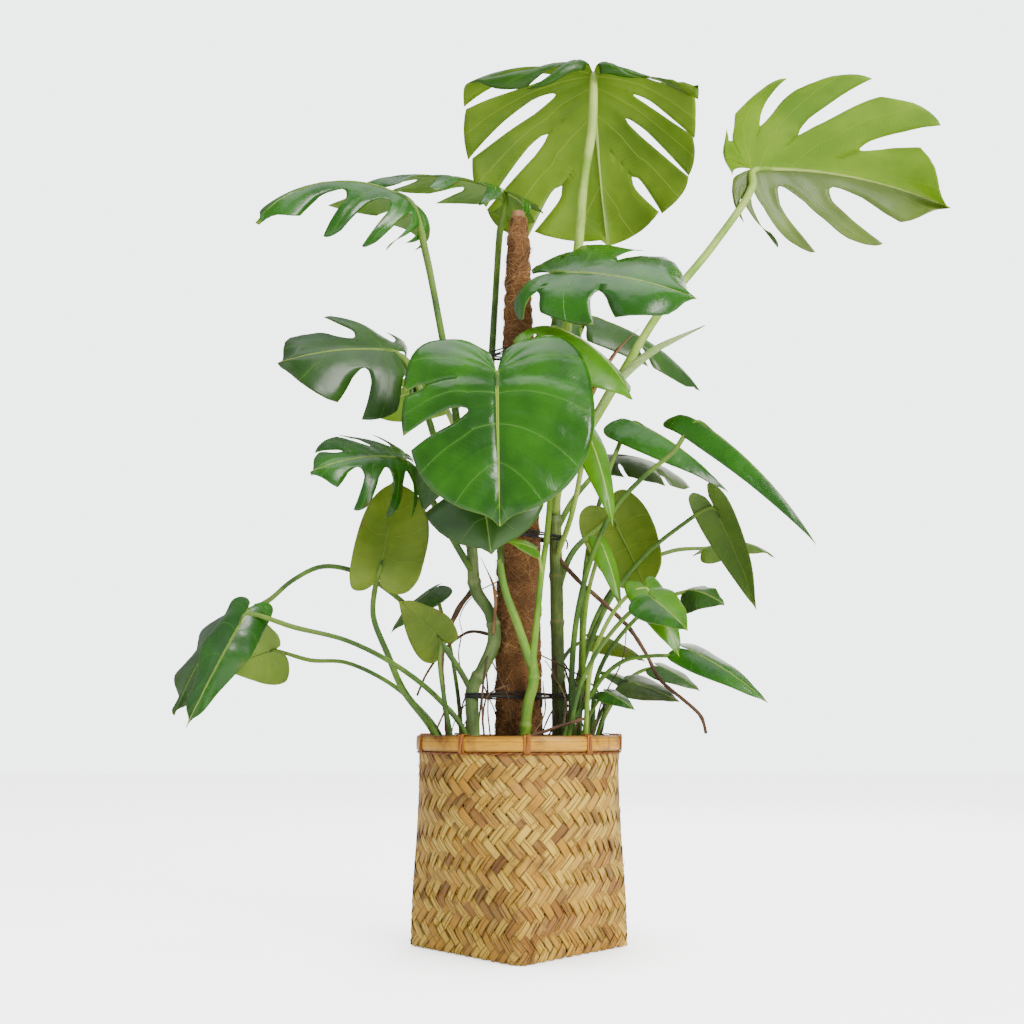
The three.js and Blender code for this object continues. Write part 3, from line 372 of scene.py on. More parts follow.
def makeStalkGroup():
    # skin of stems, stalks and roots. reach holds the turn, the run and the radius, and place a mark
    # for rings and scars, the share along and a seed
    tree, takes, gives = newGroup("stalk skin", [
        ("Main", colour, (96, 140, 60)), ("Light", colour, (140, 175, 80)), ("Dark", colour, (50, 80, 40)),
        ("Mark", colour, (170, 165, 120)), ("Foot", colour, (120, 100, 60)), ("Gloss", number, 0.4),
        ("Streaks", number, 0.5), ("Pits", number, 0.1)])
    turn, run, _ = corners(tree, "reach")
    mark, share, seed = corners(tree, "place")
    where = place(tree)
    turnAngle = times(tree, turn, 2 * math.pi)
    line = spread(tree, times(tree, sums(tree, "COSINE", turnAngle), 3.0),
                  times(tree, sums(tree, "SINE", turnAngle), 3.0), timesPlus(tree, run, 0.012, seed))
    streak = ramp(tree, grain(tree, line, 3.0, 4, 0.6), 0.35, 0.7)
    cloud = ramp(tree, grain(tree, where, 22, 3), 0.35, 0.7)
    skin = mixed(tree, cloud, takes["Main"], takes["Light"])
    skin = mixed(tree, times(tree, streak, takes["Streaks"]), skin, takes["Dark"])
    flecks = ramp(tree, grain(tree, where, 420, 2), 0.62, 0.7, 0.0, 0.35)
    skin = mixed(tree, flecks, skin, takes["Light"])
    skin = mixed(tree, ramp(tree, share, 0.0, 0.1, 0.55, 0.0), skin, takes["Foot"])
    skin = mixed(tree, mark, skin, takes["Mark"])
    pits = times(tree, grain(tree, where, 500, 3), takes["Pits"])
    return finished(tree, gives, skin, timesPlus(tree, cloud, 0.15, takes["Gloss"]),
                    timesPlus(tree, streak, -0.25, pits))


def makeCaneGroup():
    # split bamboo. reach holds the share across (-1 to 1), the run and 1 on the inner face, and place
    # a number for the strip, one for the stretch and a mark for joints
    tree, takes, gives = newGroup("split cane", [
        ("Main", colour, (190, 150, 88)), ("Pale", colour, (222, 196, 140)), ("Brown", colour, (120, 76, 38)),
        ("Rim", colour, (110, 66, 30)), ("Ruddy", colour, (190, 130, 90)), ("Rim width", number, 0.12),
        ("Variety", number, 1.0), ("Gloss", number, 0.45),
        ("Fibres", number, 1.0), ("Wear", number, 0.4), ("Splits", number, 0.6)])
    across, run, _ = corners(tree, "reach")
    strip, stretch, joint = corners(tree, "place")
    where = place(tree)
    lane = spread(tree, times(tree, across, 3.2), times(tree, run, 0.02), times(tree, strip, 91.7))
    fibre = grain(tree, lane, 3.0, 5, 0.65)
    thin = spread(tree, times(tree, across, 11.0), times(tree, run, 0.035), times(tree, strip, 17.3))
    thread = grain(tree, thin, 2.0, 3, 0.6)
    chance = shuffle(tree, strip, 78.233)
    second = shuffle(tree, plus(tree, strip, stretch), 39.41)
    third = shuffle(tree, plus(tree, strip, stretch), 61.7)
    paleShare = ramp(tree, timesPlus(tree, second, 0.65, times(tree, chance, 0.45)), 0.25, 0.95)
    ruddyShare = ramp(tree, third, 0.5, 0.85)
    tint = mixed(tree, times(tree, ruddyShare, takes["Variety"]), takes["Main"], takes["Ruddy"])
    tint = mixed(tree, times(tree, paleShare, takes["Variety"]), tint, takes["Pale"])
    brownShare = ramp(tree, timesPlus(tree, third, 0.8, times(tree, chance, 0.3)), 0.86, 1.02, 0, 0.75)
    tint = mixed(tree, times(tree, brownShare, takes["Variety"]), tint, takes["Brown"])
    stains = ramp(tree, grain(tree, where, 26, 4, 0.6), 0.5, 0.75)
    tint = mixed(tree, times(tree, stains, takes["Wear"]), tint, takes["Brown"])
    tint = mixed(tree, times(tree, ramp(tree, fibre, 0.45, 0.72), 0.55), tint, takes["Brown"])
    tint = mixed(tree, times(tree, ramp(tree, thread, 0.55, 0.75), 0.35), tint, takes["Pale"])
    bend = times(tree, sums(tree, "SUBTRACT", thread, 0.5), 0.25)
    cracks = []
    for by, chosen in ((53.9, second), (27.3, third)):  # hairline cracks that split a strip along its run, drawn as dark lines of painted shade in the split
        spot = timesPlus(tree, shuffle(tree, plus(tree, strip, stretch), by), 1.7, -0.85)
        away = sums(tree, "ABSOLUTE", sums(tree, "SUBTRACT", plus(tree, across, bend), spot))
        line = ramp(tree, away, 0.02, 0.13, 1.0, 0.0)
        cracks.append(times(tree, line, ramp(tree, chosen, 0.3, 0.5)))
    crack = times(tree, sums(tree, "MAXIMUM", cracks[0], cracks[1]), takes["Splits"])
    tint = mixed(tree, crack, tint, takes["Rim"])
    # painted shadow: the strip edges darken into the rim tint, partly the darker cut edge and partly shade in
    # the gaps between strips
    rim = ramp(tree, sums(tree, "ABSOLUTE", across), sums(tree, "SUBTRACT", 1.0, takes["Rim width"]), 1.0)
    tint = mixed(tree, times(tree, rim, 0.75), tint, takes["Rim"])
    tint = mixed(tree, joint, tint, takes["Brown"])
    ridges = plus(tree, times(tree, thread, 0.35), times(tree, fibre, 0.35))
    ridges = sums(tree, "SUBTRACT", ridges, times(tree, crack, 0.8))
    return finished(tree, gives, tint, timesPlus(tree, fibre, 0.25, takes["Gloss"]),
                    times(tree, ridges, takes["Fibres"]))


def makeLooseGroup():
    # fibres, crumbs, webbing and plastic: two tones picked by each part's own number, with a fine grain
    tree, takes, gives = newGroup("loose matter", [
        ("Main", colour, (110, 70, 36)), ("Other", colour, (160, 110, 60)), ("Dark", colour, (50, 30, 18)),
        ("Grain", number, 600.0), ("Gloss", number, 0.8), ("Lumps", number, 0.3)])
    seed = corners(tree, "place")[2]
    where = place(tree)
    chance = shuffle(tree, seed, 12.9898)
    cloud = ramp(tree, grain(tree, where, 35, 4), 0.3, 0.7)
    speck = grain(tree, where, takes["Grain"], 3, 0.6)
    tint = mixed(tree, chance, takes["Main"], takes["Other"])
    # painted shade: the dark tint is mixed in by a noise cloud, standing for shade in hollows
    tint = mixed(tree, times(tree, cloud, 0.5), tint, takes["Dark"])
    tint = mixed(tree, ramp(tree, speck, 0.5, 0.75, 0.0, 0.5), tint, takes["Other"])
    return finished(tree, gives, tint, timesPlus(tree, speck, 0.15, takes["Gloss"]),
                    times(tree, speck, takes["Lumps"]))


bladeGroup, stalkGroup = makeBladeGroup(), makeStalkGroup()
caneGroup, looseGroup = makeCaneGroup(), makeLooseGroup()


def bladeMaterial(title, *tints, gloss, age, through, veinWidth=1.2):
    # tints are the upper side, its light parts and its veins, the same three below (the paler underside with
    # a painted glow of light through it), and the edge
    names = ("Top", "Top light", "Top vein", "Under", "Under light", "Under vein", "Edge")
    values = {**dict(zip(names, tints)), "Gloss": gloss, "Age": age, "Vein width": veinWidth}
    coat = {"Coat Weight": 0.22, "Coat Roughness": 0.26}
    return newMaterial(title, bladeGroup, values, through, bump=0.8, **coat)


def skinMaterial(title, *tints, gloss=0.4, streaks=0.5, pits=0.1):
    # tints are the skin, its light and dark parts, the marks and the foot
    values = dict(zip(("Main", "Light", "Dark", "Mark", "Foot"), tints))
    return newMaterial(title, stalkGroup, {**values, "Gloss": gloss, "Streaks": streaks, "Pits": pits})


def caneMaterial(title, *tints, bump, rimWidth, variety, gloss, fibres, wear, splits=0.6):
    # tints are the strip, its pale and brown parts, the rims (darker cut edges and painted shadow between
    # strips) and a ruddy one
    values = {**dict(zip(("Main", "Pale", "Brown", "Rim", "Ruddy"), tints)), "Rim width": rimWidth,
              "Variety": variety, "Gloss": gloss, "Fibres": fibres, "Wear": wear, "Splits": splits}
    return newMaterial(title, caneGroup, values, bump=bump)


def looseMaterial(title, *tints, bump, fineness, gloss, lumps):
    # tints are two that the parts vary between, and a dark one laid in cloudy patches as painted shade of
    # hollows
    values = dict(zip(("Main", "Other", "Dark"), tints))
    values.update({"Grain": fineness, "Gloss": gloss, "Lumps": lumps})
    return newMaterial(title, looseGroup, values, bump=bump)


bladePaints = {
    # the underside tints are brighter than a bare underside: a painted glow of light through the blade,
    # strongest on the crown leaf
    "crown": bladeMaterial("crown leaf", (34, 84, 4), (58, 116, 10), (116, 160, 40), (98, 138, 8),
                           (142, 180, 26), (204, 224, 92), (160, 176, 40), gloss=0.3, age=0.1, through=0.42,
                           veinWidth=1.5),
    "bright": bladeMaterial("bright leaf", (60, 126, 4), (100, 166, 10), (156, 200, 48), (108, 158, 8),
                            (156, 198, 30), (212, 230, 80), (176, 194, 48), gloss=0.28, age=0.2,
                            through=0.38),
    "middle": bladeMaterial("green leaf", (20, 78, 2), (46, 116, 8), (100, 156, 34), (84, 130, 14),
                            (120, 164, 30), (178, 202, 78), (140, 164, 40), gloss=0.2, age=0.4, through=0.2),
    "glossy": bladeMaterial("glossy leaf", (24, 78, 4), (56, 124, 12), (104, 166, 26), (84, 132, 20),
                            (116, 164, 26), (186, 222, 30), (150, 176, 40), gloss=0.13, age=0.2,
                            through=0.18),
    "deep": bladeMaterial("dark leaf", (26, 66, 8), (50, 96, 14), (92, 130, 38), (72, 108, 20),
                          (98, 132, 34), (150, 174, 66), (118, 140, 40), gloss=0.32, age=0.5, through=0.14),
    "grey": bladeMaterial("grey-green leaf", (42, 68, 18), (74, 100, 34), (120, 146, 70), (80, 106, 30),
                          (110, 136, 48), (160, 178, 90), (130, 146, 60), gloss=0.34, age=0.4, through=0.15),
    "olive": bladeMaterial("olive leaf", (60, 96, 12), (92, 124, 22), (140, 162, 56), (100, 130, 20),
                           (136, 160, 38), (188, 200, 70), (150, 160, 44), gloss=0.36, age=0.5,
                           through=0.28),
    "pale": bladeMaterial("pale leaf", (74, 110, 18), (102, 136, 28), (146, 170, 64), (116, 152, 36),
                          (150, 182, 56), (200, 214, 96), (170, 184, 64), gloss=0.4, age=0.4, through=0.25),
}
# painted light: the lime stalk is a sunlit copy and the green stalk a shaded copy of one stalk skin
stalkPaints = {
    "lime": skinMaterial("sunlit stalk", (130, 174, 40), (186, 214, 94), (82, 124, 24), (204, 222, 120),
                         (112, 136, 44)),
    "green": skinMaterial("shaded stalk", (58, 98, 14), (104, 146, 34), (38, 62, 12), (130, 160, 54),
                          (78, 86, 30)),
}
print("materials for the plant are ready")


# Leaves. base is where the stalk meets the blade, tip is the drip tip, and face is the way the upper
# side looks. arch bends the midrib, fold and curl bend the left and right halves, and basal bends the
# lobes behind the stalk, all in degrees, minus for drooping halves. petiole runs up the stalk, and slot
# is the finish of the solid. What a row leaves out is as usual.
usualLeaf = {"arch": 25, "fold": [-5, -5], "curl": [-20, -20], "basal": 10, "cuts": "none"}
usualLooks = {"deep": "deep", "green": "middle", "olive": "olive", "bright": "bright"}
leaves = {
    "crown": {"base": [122, 0, 1348], "tip": [150, 112, 1100], "face": [0, 0.88, 0.47], "width": 378,
        "sides": [1.2, 0.98], "outline": "full", "arch": 60, "fold": [4, -14], "curl": [-10, -26],
        "basal": 120, "cuts": "many", "slit": "closing", "fan": 3, "petiole": [[52, 14, 735], [61, 0, 775],
        [66, -20, 840], [76, -25, 925], [93, -20, 1040], [104, -10, 1160], [118, -5, 1250]],
        "radius": [9, 6.5], "slot": "green", "look": "crown", "wavy": 3},
    # upper_right: the bright look is its lit near half, and the grey-green half look paints its hanging left
    # half as shade
    "upper_right": {"base": [382, 40, 1203], "tip": [710, 60, 1144], "face": [0, 0.38, 0.92], "width": 300,
        "sides": [1.04, 1.3], "arch": 40, "fold": [-60, 8], "curl": [-20, -10], "basal": 40, "cuts": "deep",
        "slit": "wide", "fan": 2.4, "petiole": [[55, 14, 630], [60, -8, 665], [89, -15, 722],
        [125, -10, 783], [223, 0, 948], [311, 20, 1063], [380, 36, 1170]], "radius": [8, 5.5],
        "slot": "green", "look": "bright", "leftLook": "grey", "wavy": 4},
    "upper_left_front": {"base": [-163, -62, 1101], "tip": [-383, -150, 1028], "face": [-0.2, -0.25, 0.95],
        "width": 236, "sides": [0.95, 0.9], "arch": 80, "fold": [-60, 6], "curl": [-34, -20], "basal": 30,
        "cuts": "deep", "slit": "wide", "fan": 2.2, "petiole": [[-73, -15, 640], [-84, -28, 700],
        [-98, -36, 792], [-118, -50, 900], [-142, -58, 1020]], "radius": [6.5, 4.5], "slot": "green",
        "wavy": 8},
    "upper_left_back": {"base": [-22, 61, 1173], "tip": [-244, -46, 1136], "face": [0, 0.1, 1], "width": 245,
        "sides": [1, 0.44], "arch": 40, "fold": [-26, -4], "curl": [-38, -20], "basal": 14, "cuts": "deep",
        "slit": "wide", "fan": 1.5, "petiole": [[-71, -13, 680], [-58, -8, 750], [-44, 6, 847],
        [-38, 28, 950], [-30, 50, 1096]], "radius": [6.5, 4.5], "slot": "deep", "look": "middle", "wavy": 6},
    "front_heart": {"base": [-31, -190, 791], "tip": [-26, -215, 570], "face": [0, -0.97, 0.1], "width": 266,
        "fold": [8, 8], "cuts": "heart", "fan": 1.4, "petiole": [[-26, -72, 540], [-30, -76, 620],
        [-34, -84, 700], [-35, -100, 752], [-33, -142, 779]], "radius": [5.2, 4.2], "slot": "deep",
        "look": "glossy"},
    "front_under": {"base": [-60, -132, 704], "tip": [-38, -165, 539], "face": [-0.1, -0.9, 0.3],
        "width": 205, "arch": 30, "cuts": "few", "petiole": [[-71, -18, 600], [-72, -55, 636],
        [-66, -105, 676]], "radius": [5.5, 4], "slot": "green", "look": "deep"},
    "left_mid": {"base": [-184, -62, 862], "tip": [-347, -135, 821], "face": [-0.1, -0.85, 0.5],
        "width": 236, "arch": 30, "fold": [-22, -4], "curl": [-22, -14], "basal": 20, "cuts": "split",
        "slit": "wide", "fan": 1.5, "petiole": [[-69, -22, 562], [-96, -42, 632], [-130, -56, 745],
        [-162, -60, 835]], "radius": [6, 4], "slot": "green", "look": "deep", "wavy": 6},
    "left_low": {"base": [-167, -90, 691], "tip": [-290, -165, 655], "face": [-0.2, -0.75, 0.6],
        "width": 196, "arch": 35, "fold": [-30, 2], "curl": [-30, -16], "basal": 15, "cuts": "deep",
        "slit": "wide", "fan": 1.5, "petiole": [[-67, -24, 530], [-98, -54, 580], [-140, -74, 655]],
        "radius": [5.5, 4], "slot": "green"},
    "left_behind": {"base": [-133, 90, 852], "tip": [-247, 150, 818], "face": [0, 0.4, 0.9], "width": 120,
        "arch": 40, "fold": [-10, -10], "cuts": "few", "petiole": [[-70, -12, 665], [-84, 18, 725],
        [-112, 62, 800]], "radius": [5, 3.5], "slot": "olive", "look": "bright"},
    "left_heart": {"base": [-196, -110, 525], "tip": [-179, -80, 664], "face": [0.1, 0.95, -0.2],
        "width": 112, "sides": [1.12, 0.8], "outline": "lobed", "fold": [8, 8], "curl": [-25, -25],
        "petiole": [[-100, -28, 232], [-122, -30, 298], [-166, -55, 359], [-187, -70, 408], [-206, -95, 460],
        [-204, -106, 494]], "radius": [6, 3], "slot": "olive"},
    "far_left_dark": {"base": [-403, -110, 459], "tip": [-469, -140, 322], "face": [-0.35, -0.8, 0.45],
        "width": 160, "sides": [0.6, 1.35], "arch": 30, "fold": [-12, -25], "basal": 20,
        "petiole": [[-66, -27, 352], [-86, -36, 388], [-122, -48, 438], [-172, -62, 488], [-228, -76, 524],
        [-281, -86, 533], [-323, -92, 512], [-356, -98, 482]], "radius": [4.5, 3], "slot": "deep",
        "wavy": 9},
    "far_left_folded": {"base": [-371, -166, 458], "tip": [-439, -190, 306], "face": [0.25, -0.85, 0.4],
        "width": 124, "sides": [0.6, 0.85], "arch": 30, "fold": [-22, -34], "curl": [-20, -26], "basal": 20,
        "petiole": [[-72, -46, 232], [-78, -46, 299], [-114, -54, 345], [-170, -84, 390], [-239, -112, 425],
        [-307, -144, 441]], "radius": [4.5, 3], "slot": "green", "wavy": 6},
    "far_left_pale": {"base": [-357, -20, 418], "tip": [-445, 20, 393], "face": [0, 0.97, 0.25],
        "width": 100, "petiole": [[-98, 8, 232], [-118, 4, 298], [-158, -10, 345], [-196, -18, 374],
        [-255, -20, 400], [-306, -20, 403]], "radius": [4, 2.6], "slot": "olive", "look": "pale"},
    "basket_left": {"base": [-112, -66, 430], "tip": [-174, -70, 487], "face": [0.2, 0.8, 0.5], "width": 85,
        "arch": 20, "petiole": [[-90, -64, 232], [-97, -69, 298], [-106, -73, 345], [-113, -72, 395]],
        "radius": [3.5, 2.4], "slot": "olive"},
    "basket_dark": {"base": [-127, 4, 512], "tip": [-189, -10, 444], "face": [-0.4, -0.6, 0.7], "width": 60,
        "arch": 30, "fold": [-15, -15], "petiole": [[-84, 20, 232], [-88, 20, 330], [-104, 16, 430],
        [-120, 10, 490]], "radius": [3.5, 2.4], "slot": "deep"},
    "centre_right": {"base": [47, -126, 961], "tip": [249, -190, 898], "face": [0, -0.8, 0.6], "width": 250,
        "sides": [1.15, 0.78], "arch": 28, "fold": [0, -6], "curl": [-22, -22], "basal": 25, "cuts": "few",
        "slit": "wide", "petiole": [[52, 8, 700], [49, -26, 765], [48, -38, 823], [50, -54, 883],
        [58, -98, 936]], "radius": [6, 4], "slot": "deep", "look": "middle", "wavy": 6},
    "centre_small": {"base": [48, -122, 880], "tip": [161, -150, 762], "face": [0.15, -0.5, 0.85],
        "width": 140, "arch": 50, "fold": [-16, -10], "curl": [-25, -25], "basal": 20, "cuts": "few",
        "petiole": [[40, -63, 570], [46, -68, 640], [50, -84, 740], [52, -102, 820]], "radius": [4.6, 3.4],
        "slot": "green", "look": "bright", "wavy": 5},
    "behind_right": {"base": [119, 110, 976], "tip": [311, 190, 871], "face": [0, -0.6, 0.8], "width": 125,
        "arch": 40, "fold": [-15, -15], "cuts": "few", "petiole": [[50, 16, 770], [62, 52, 850],
        [95, 92, 930]], "radius": [5.5, 4], "slot": "deep"},
    "hanging_narrow": {"base": [97, -110, 728], "tip": [130, -150, 580], "face": [0.3, -0.85, 0.4],
        "width": 55, "arch": 30, "fold": [-15, -15], "petiole": [[57, 24, 560], [78, -36, 615],
        [92, -84, 685]], "radius": [4.5, 3], "slot": "bright"},
    "back_lobed": {"base": [162, 150, 750], "tip": [296, 230, 711], "face": [0, -0.5, 0.86], "width": 130,
        "arch": 40, "fold": [-10, -10], "cuts": "few", "petiole": [[56, 23, 600], [90, 76, 665],
        [135, 126, 722]], "radius": [5, 3.5], "slot": "green", "look": "grey"},
    "right_high": {"base": [185, 88, 792], "tip": [329, 58, 669], "face": [0.35, -0.7, 0.6], "width": 100,
        "arch": 30, "fold": [-34, -20], "curl": [-15, -15], "basal": 30, "petiole": [[90, 66, 232],
        [92, 64, 298], [96, 64, 400], [106, 70, 560], [128, 72, 655], [155, 82, 735]], "radius": [5, 3],
        "slot": "green"},
    "right_long": {"base": [260, -92, 747], "tip": [418, -122, 559], "face": [0.4, -0.75, 0.5], "width": 64,
        "arch": 30, "fold": [-46, -38], "curl": [-15, -15], "basal": 42, "petiole": [[80, -32, 232],
        [78, -32, 298], [76, -33, 360], [84, -46, 462], [106, -62, 550], [139, -72, 619], [180, -78, 664],
        [226, -84, 703]], "radius": [5, 3], "slot": "green", "wavy": 3},
    "right_drooping": {"base": [295, -10, 632], "tip": [347, -40, 475], "face": [0.6, 0.75, 0.2],
        "width": 66, "fold": [-10, -10], "curl": [-15, -15], "basal": 20, "petiole": [[92, -4, 232],
        [88, -4, 298], [94, 2, 390], [122, 12, 465], [153, 18, 518], [200, 16, 571], [253, 6, 612],
        [278, -4, 628]], "radius": [4.5, 2.8], "slot": "olive", "look": "deep"},
    "right_curl": {"base": [305, 110, 591], "tip": [419, 150, 578], "face": [0, -0.4, 0.9], "width": 70,
        "arch": 60, "fold": [-20, -20], "basal": 20, "petiole": [[70, 84, 232], [74, 84, 298], [98, 86, 400],
        [124, 90, 480], [170, 98, 545], [246, 106, 583]], "radius": [4.5, 2.8], "slot": "olive", "wavy": 6},
    "right_dark": {"base": [244, -50, 503], "tip": [293, -90, 477], "face": [0, -0.9, 0.4], "width": 72,
        "arch": 60, "fold": [-20, -20], "curl": [-30, -30], "basal": 20, "petiole": [[106, -36, 232],
        [106, -36, 298], [114, -38, 380], [150, -42, 440], [204, -48, 488]], "radius": [4, 2.6],
        "slot": "deep", "wavy": 5},
    "middle_olive": {"base": [148, 60, 627], "tip": [198, 40, 510], "face": [0.1, 0.9, 0.4], "width": 115,
        "outline": "lobed", "petiole": [[58, 25, 480], [64, 30, 525], [86, 42, 575], [126, 55, 612]],
        "radius": [6, 3.5], "slot": "olive"},
    "middle_narrow": {"base": [123, -40, 571], "tip": [146, -75, 472], "face": [0.4, -0.85, 0.3],
        "width": 36, "arch": 20, "fold": [-15, -15], "curl": [-10, -10], "petiole": [[104, -22, 232],
        [102, -22, 298], [94, -24, 400], [100, -30, 490], [114, -36, 545]], "radius": [5, 2.4],
        "slot": "bright"},
    # young_glossy: its left half takes the brighter look as painted light
    "young_glossy": {"base": [181, -150, 483], "tip": [226, -180, 434], "face": [0, -0.75, 0.65],
        "width": 78, "arch": 20, "petiole": [[64, -84, 232], [70, -86, 298], [92, -104, 380],
        [142, -134, 452]], "radius": [4, 2.4], "slot": "deep", "look": "glossy", "leftLook": "bright"},
    "young_bright": {"base": [181, -106, 499], "tip": [219, -140, 401], "face": [0.3, -0.9, 0.2],
        "width": 64, "petiole": [[92, -68, 232], [94, -70, 298], [104, -78, 400], [136, -94, 470],
        [164, -104, 496]], "radius": [4, 2.4], "slot": "bright", "wavy": 4},
    "right_low": {"base": [240, -100, 413], "tip": [338, -140, 339], "face": [0.35, -0.8, 0.5], "width": 60,
        "fold": [-15, -15], "curl": [-15, -15], "basal": 20, "petiole": [[60, -66, 232], [66, -66, 298],
        [96, -64, 342], [121, -66, 378], [151, -74, 400], [191, -84, 406], [222, -94, 406]],
        "radius": [4, 2.4], "slot": "green"},
    "low_olive": {"base": [117, 46, 438], "tip": [192, 40, 404], "face": [0, 0.5, 0.85], "width": 48,
        "fold": [-10, -10], "petiole": [[60, 27, 396], [80, 36, 424], [100, 43, 435]], "radius": [3.5, 2.2],
        "slot": "olive"},
    "low_back": {"base": [214, 40, 397], "tip": [271, 20, 359], "face": [0, -0.5, 0.85], "width": 52,
        "fold": [-10, -10], "petiole": [[108, 40, 232], [112, 40, 298], [140, 42, 352], [182, 42, 388]],
        "radius": [3.5, 2.2], "slot": "deep"},
    "low_pale": {"base": [164, -20, 371], "tip": [232, -40, 342], "face": [0, -0.6, 0.8], "width": 62,
        "arch": 20, "curl": [-15, -15], "petiole": [[110, -4, 232], [116, -4, 298], [138, -12, 346]],
        "radius": [3.5, 2.2], "slot": "olive", "look": "grey"},
    "low_dark": {"base": [162, 14, 374], "tip": [117, 20, 388], "face": [0, -0.5, 0.85], "width": 36,
        "arch": 20, "fold": [-10, -10], "curl": [-15, -15], "petiole": [[106, 18, 232], [118, 16, 298],
        [142, 14, 346]], "radius": [3, 2], "slot": "deep"},
    "low_front": {"base": [124, -60, 356], "tip": [162, -92, 330], "face": [0, -0.6, 0.8], "width": 38,
        "arch": 20, "fold": [-10, -10], "curl": [-15, -15], "petiole": [[86, -46, 232], [92, -50, 298],
        [108, -54, 336]], "radius": [3, 2], "slot": "green"},
    "pole_small": {"base": [22, -82, 560], "tip": [-18, -98, 568], "face": [0, -0.7, 0.7], "width": 36,
        "arch": 20, "curl": [-15, -15], "petiole": [[33, -62, 524], [31, -72, 540], [27, -79, 553]],
        "radius": [2.6, 1.8], "slot": "bright"},
}
outline = {
    "lobed": {"along": [-0.17, -0.28, -0.26, -0.1, 0.12, 0.36, 0.58, 0.76, 0.88, 0.94, 1],
              "out": [0.07, 0.37, 0.71, 0.93, 1, 0.99, 0.9, 0.7, 0.42, 0.13, 0]},
    "full": {"along": [-0.17, -0.28, -0.26, -0.1, 0.12, 0.36, 0.6, 0.8, 0.93, 0.98, 1],
             "out": [0.07, 0.37, 0.71, 0.93, 1, 1, 0.96, 0.83, 0.58, 0.26, 0]},
    "pointed": {"along": [-0.12, -0.22, -0.2, -0.07, 0.13, 0.35, 0.55, 0.72, 0.85, 0.93, 1],
                "out": [0.08, 0.42, 0.77, 0.97, 1, 0.88, 0.68, 0.46, 0.26, 0.1, 0]},
    "fanEnd": 0.3,
    "sweep": 0.06,
    "basalReach": 0.25,
}
# Where each cut lies from basal lobe to tip, where it starts and how wide it is on the left and right half
cutSets = {
    "none": [],
    "few": [[0.34, 0.4, 0.45], [0.58, 0.35, 0.4]],
    "deep": [[0.2, 0.4, 0.5, 1.6, 0.8], [0.38, 0.22, 0.42, 1.7, 0.8], [0.56, 0.2, 0.34, 1.7, 0.8],
             [0.74, 0.25, 0.42, 1.5, 0.7]],
    "split": [[0.34, 0.35, 0.25, 1.5, 2.6], [0.6, 0.3, 0.3, 1.6, 2]],
    "many": [[0.14, 0.5, 0.6], [0.27, 0.36, 0.45, 1, 0.6], [0.4, 0.28, 0.4, 1.2, 0.6],
             [0.53, 0.28, 0.35, 1.1, 0.5], [0.66, 0.4, 0.3, 0.7, 0.6], [0.8, 0.5, 0.5, 0.6, 0.6]],
    "heart": [[0.2, 1, 1], [0.41, 1, 0.74, 1, 0.8], [0.56, 1, 0.32, 1, 2.2], [0.72, 1, 1], [0.86, 1, 1]],
}
# Half width of a slit, the share of it at the margin, and how far the corners of a lobe's end are drawn in
slits = {
    "plain": [0.014, 0.8, 0.04, 0.01],
    "closing": [0.034, 0.06, 0.05, 0.02],
    "wide": [0.026, 1.5, 0.15, 0.02],
}
blade = {
    "thickness": 0.9,
    "rows": 18,
    "lobeColumns": 8,
    "wholeVeins": 6,
    "veinGroove": 1.1,
    "lobeSag": 7.0,
    "ruffle": 1.8,
    "ribHalf": 2.6,
}


def readTable(table, s):  # a smooth reading at s from 0 to 1
    table = np.asarray(table, float)
    x = np.clip(s, 0, 1) * (len(table) - 1)
    i = np.minimum(x.astype(int), len(table) - 2)
    a, b, c = table[np.maximum(i - 1, 0)], table[i], table[i + 1]
    d = table[np.minimum(i + 2, len(table) - 1)]
    t = x - i
    return b + 0.5 * t * (c - a + t * (2 * a - 5 * b + 4 * c - d + t * (3 * (b - c) + d - a)))


def sheetOf(leaf):  # maps a place along (0 base, 1 tip) and out (mm from the midrib) to space
    base, tip = np.array(leaf["base"], float), np.array(leaf["tip"], float)
    chord = tip - base
    bend = math.radians(leaf["arch"])
    length = np.linalg.norm(chord) * (bend / 2) / math.sin(bend / 2)
    ahead = unit(chord)
    face = np.array(leaf["face"], float)
    up = unit(face - ahead * face.dot(ahead))
    right = np.cross(ahead, up)
    halves = [leaf["width"] / 2 * share for share in leaf.get("sides", (1, 1))]
    basalBend = bend + math.radians(leaf["basal"]) / outline["basalReach"]

    def spot(along, out, side, lift=0.0):
        along, out, lift = np.broadcast_arrays(*(np.asarray(a, float) for a in (along, out, lift)))
        rate = np.where(along < 0, basalBend, bend)
        angle = bend / 2 - rate * along
        x = length / rate * (math.sin(bend / 2) - np.sin(angle))
        z = length / rate * (np.cos(angle) - math.cos(bend / 2))
        raised = -np.sin(angle)[..., None] * ahead + np.cos(angle)[..., None] * up
        half = 0 if side < 0 else 1
        fold = math.radians(leaf["fold"][half])
        curl = math.radians(leaf["curl"][half]) / halves[half]
        turn = fold + curl * out
        across = (np.sin(turn) - math.sin(fold)) / curl
        rise = (math.cos(fold) - np.cos(turn)) / curl
        p = base + x[..., None] * ahead + z[..., None] * up
        p = p + (side * across)[..., None] * right + rise[..., None] * raised
        normal = raised * np.cos(turn)[..., None] - side * right * np.sin(turn)[..., None]
        return p + normal * lift[..., None]
    return spot, halves, up


def openWidth(w, start, opening, slit):  # how wide a slit stands open, rounded at its inner end
    if start >= 1:
        return np.zeros_like(w)
    t = np.clip((w - start) / (1 - start), 0, 1)
    wide = opening * slit[0] * np.sqrt(np.minimum(1, t * 4)) * (1 + (slit[1] - 1) * t)
    return np.where(w > start + 1e-6, wide, 0)


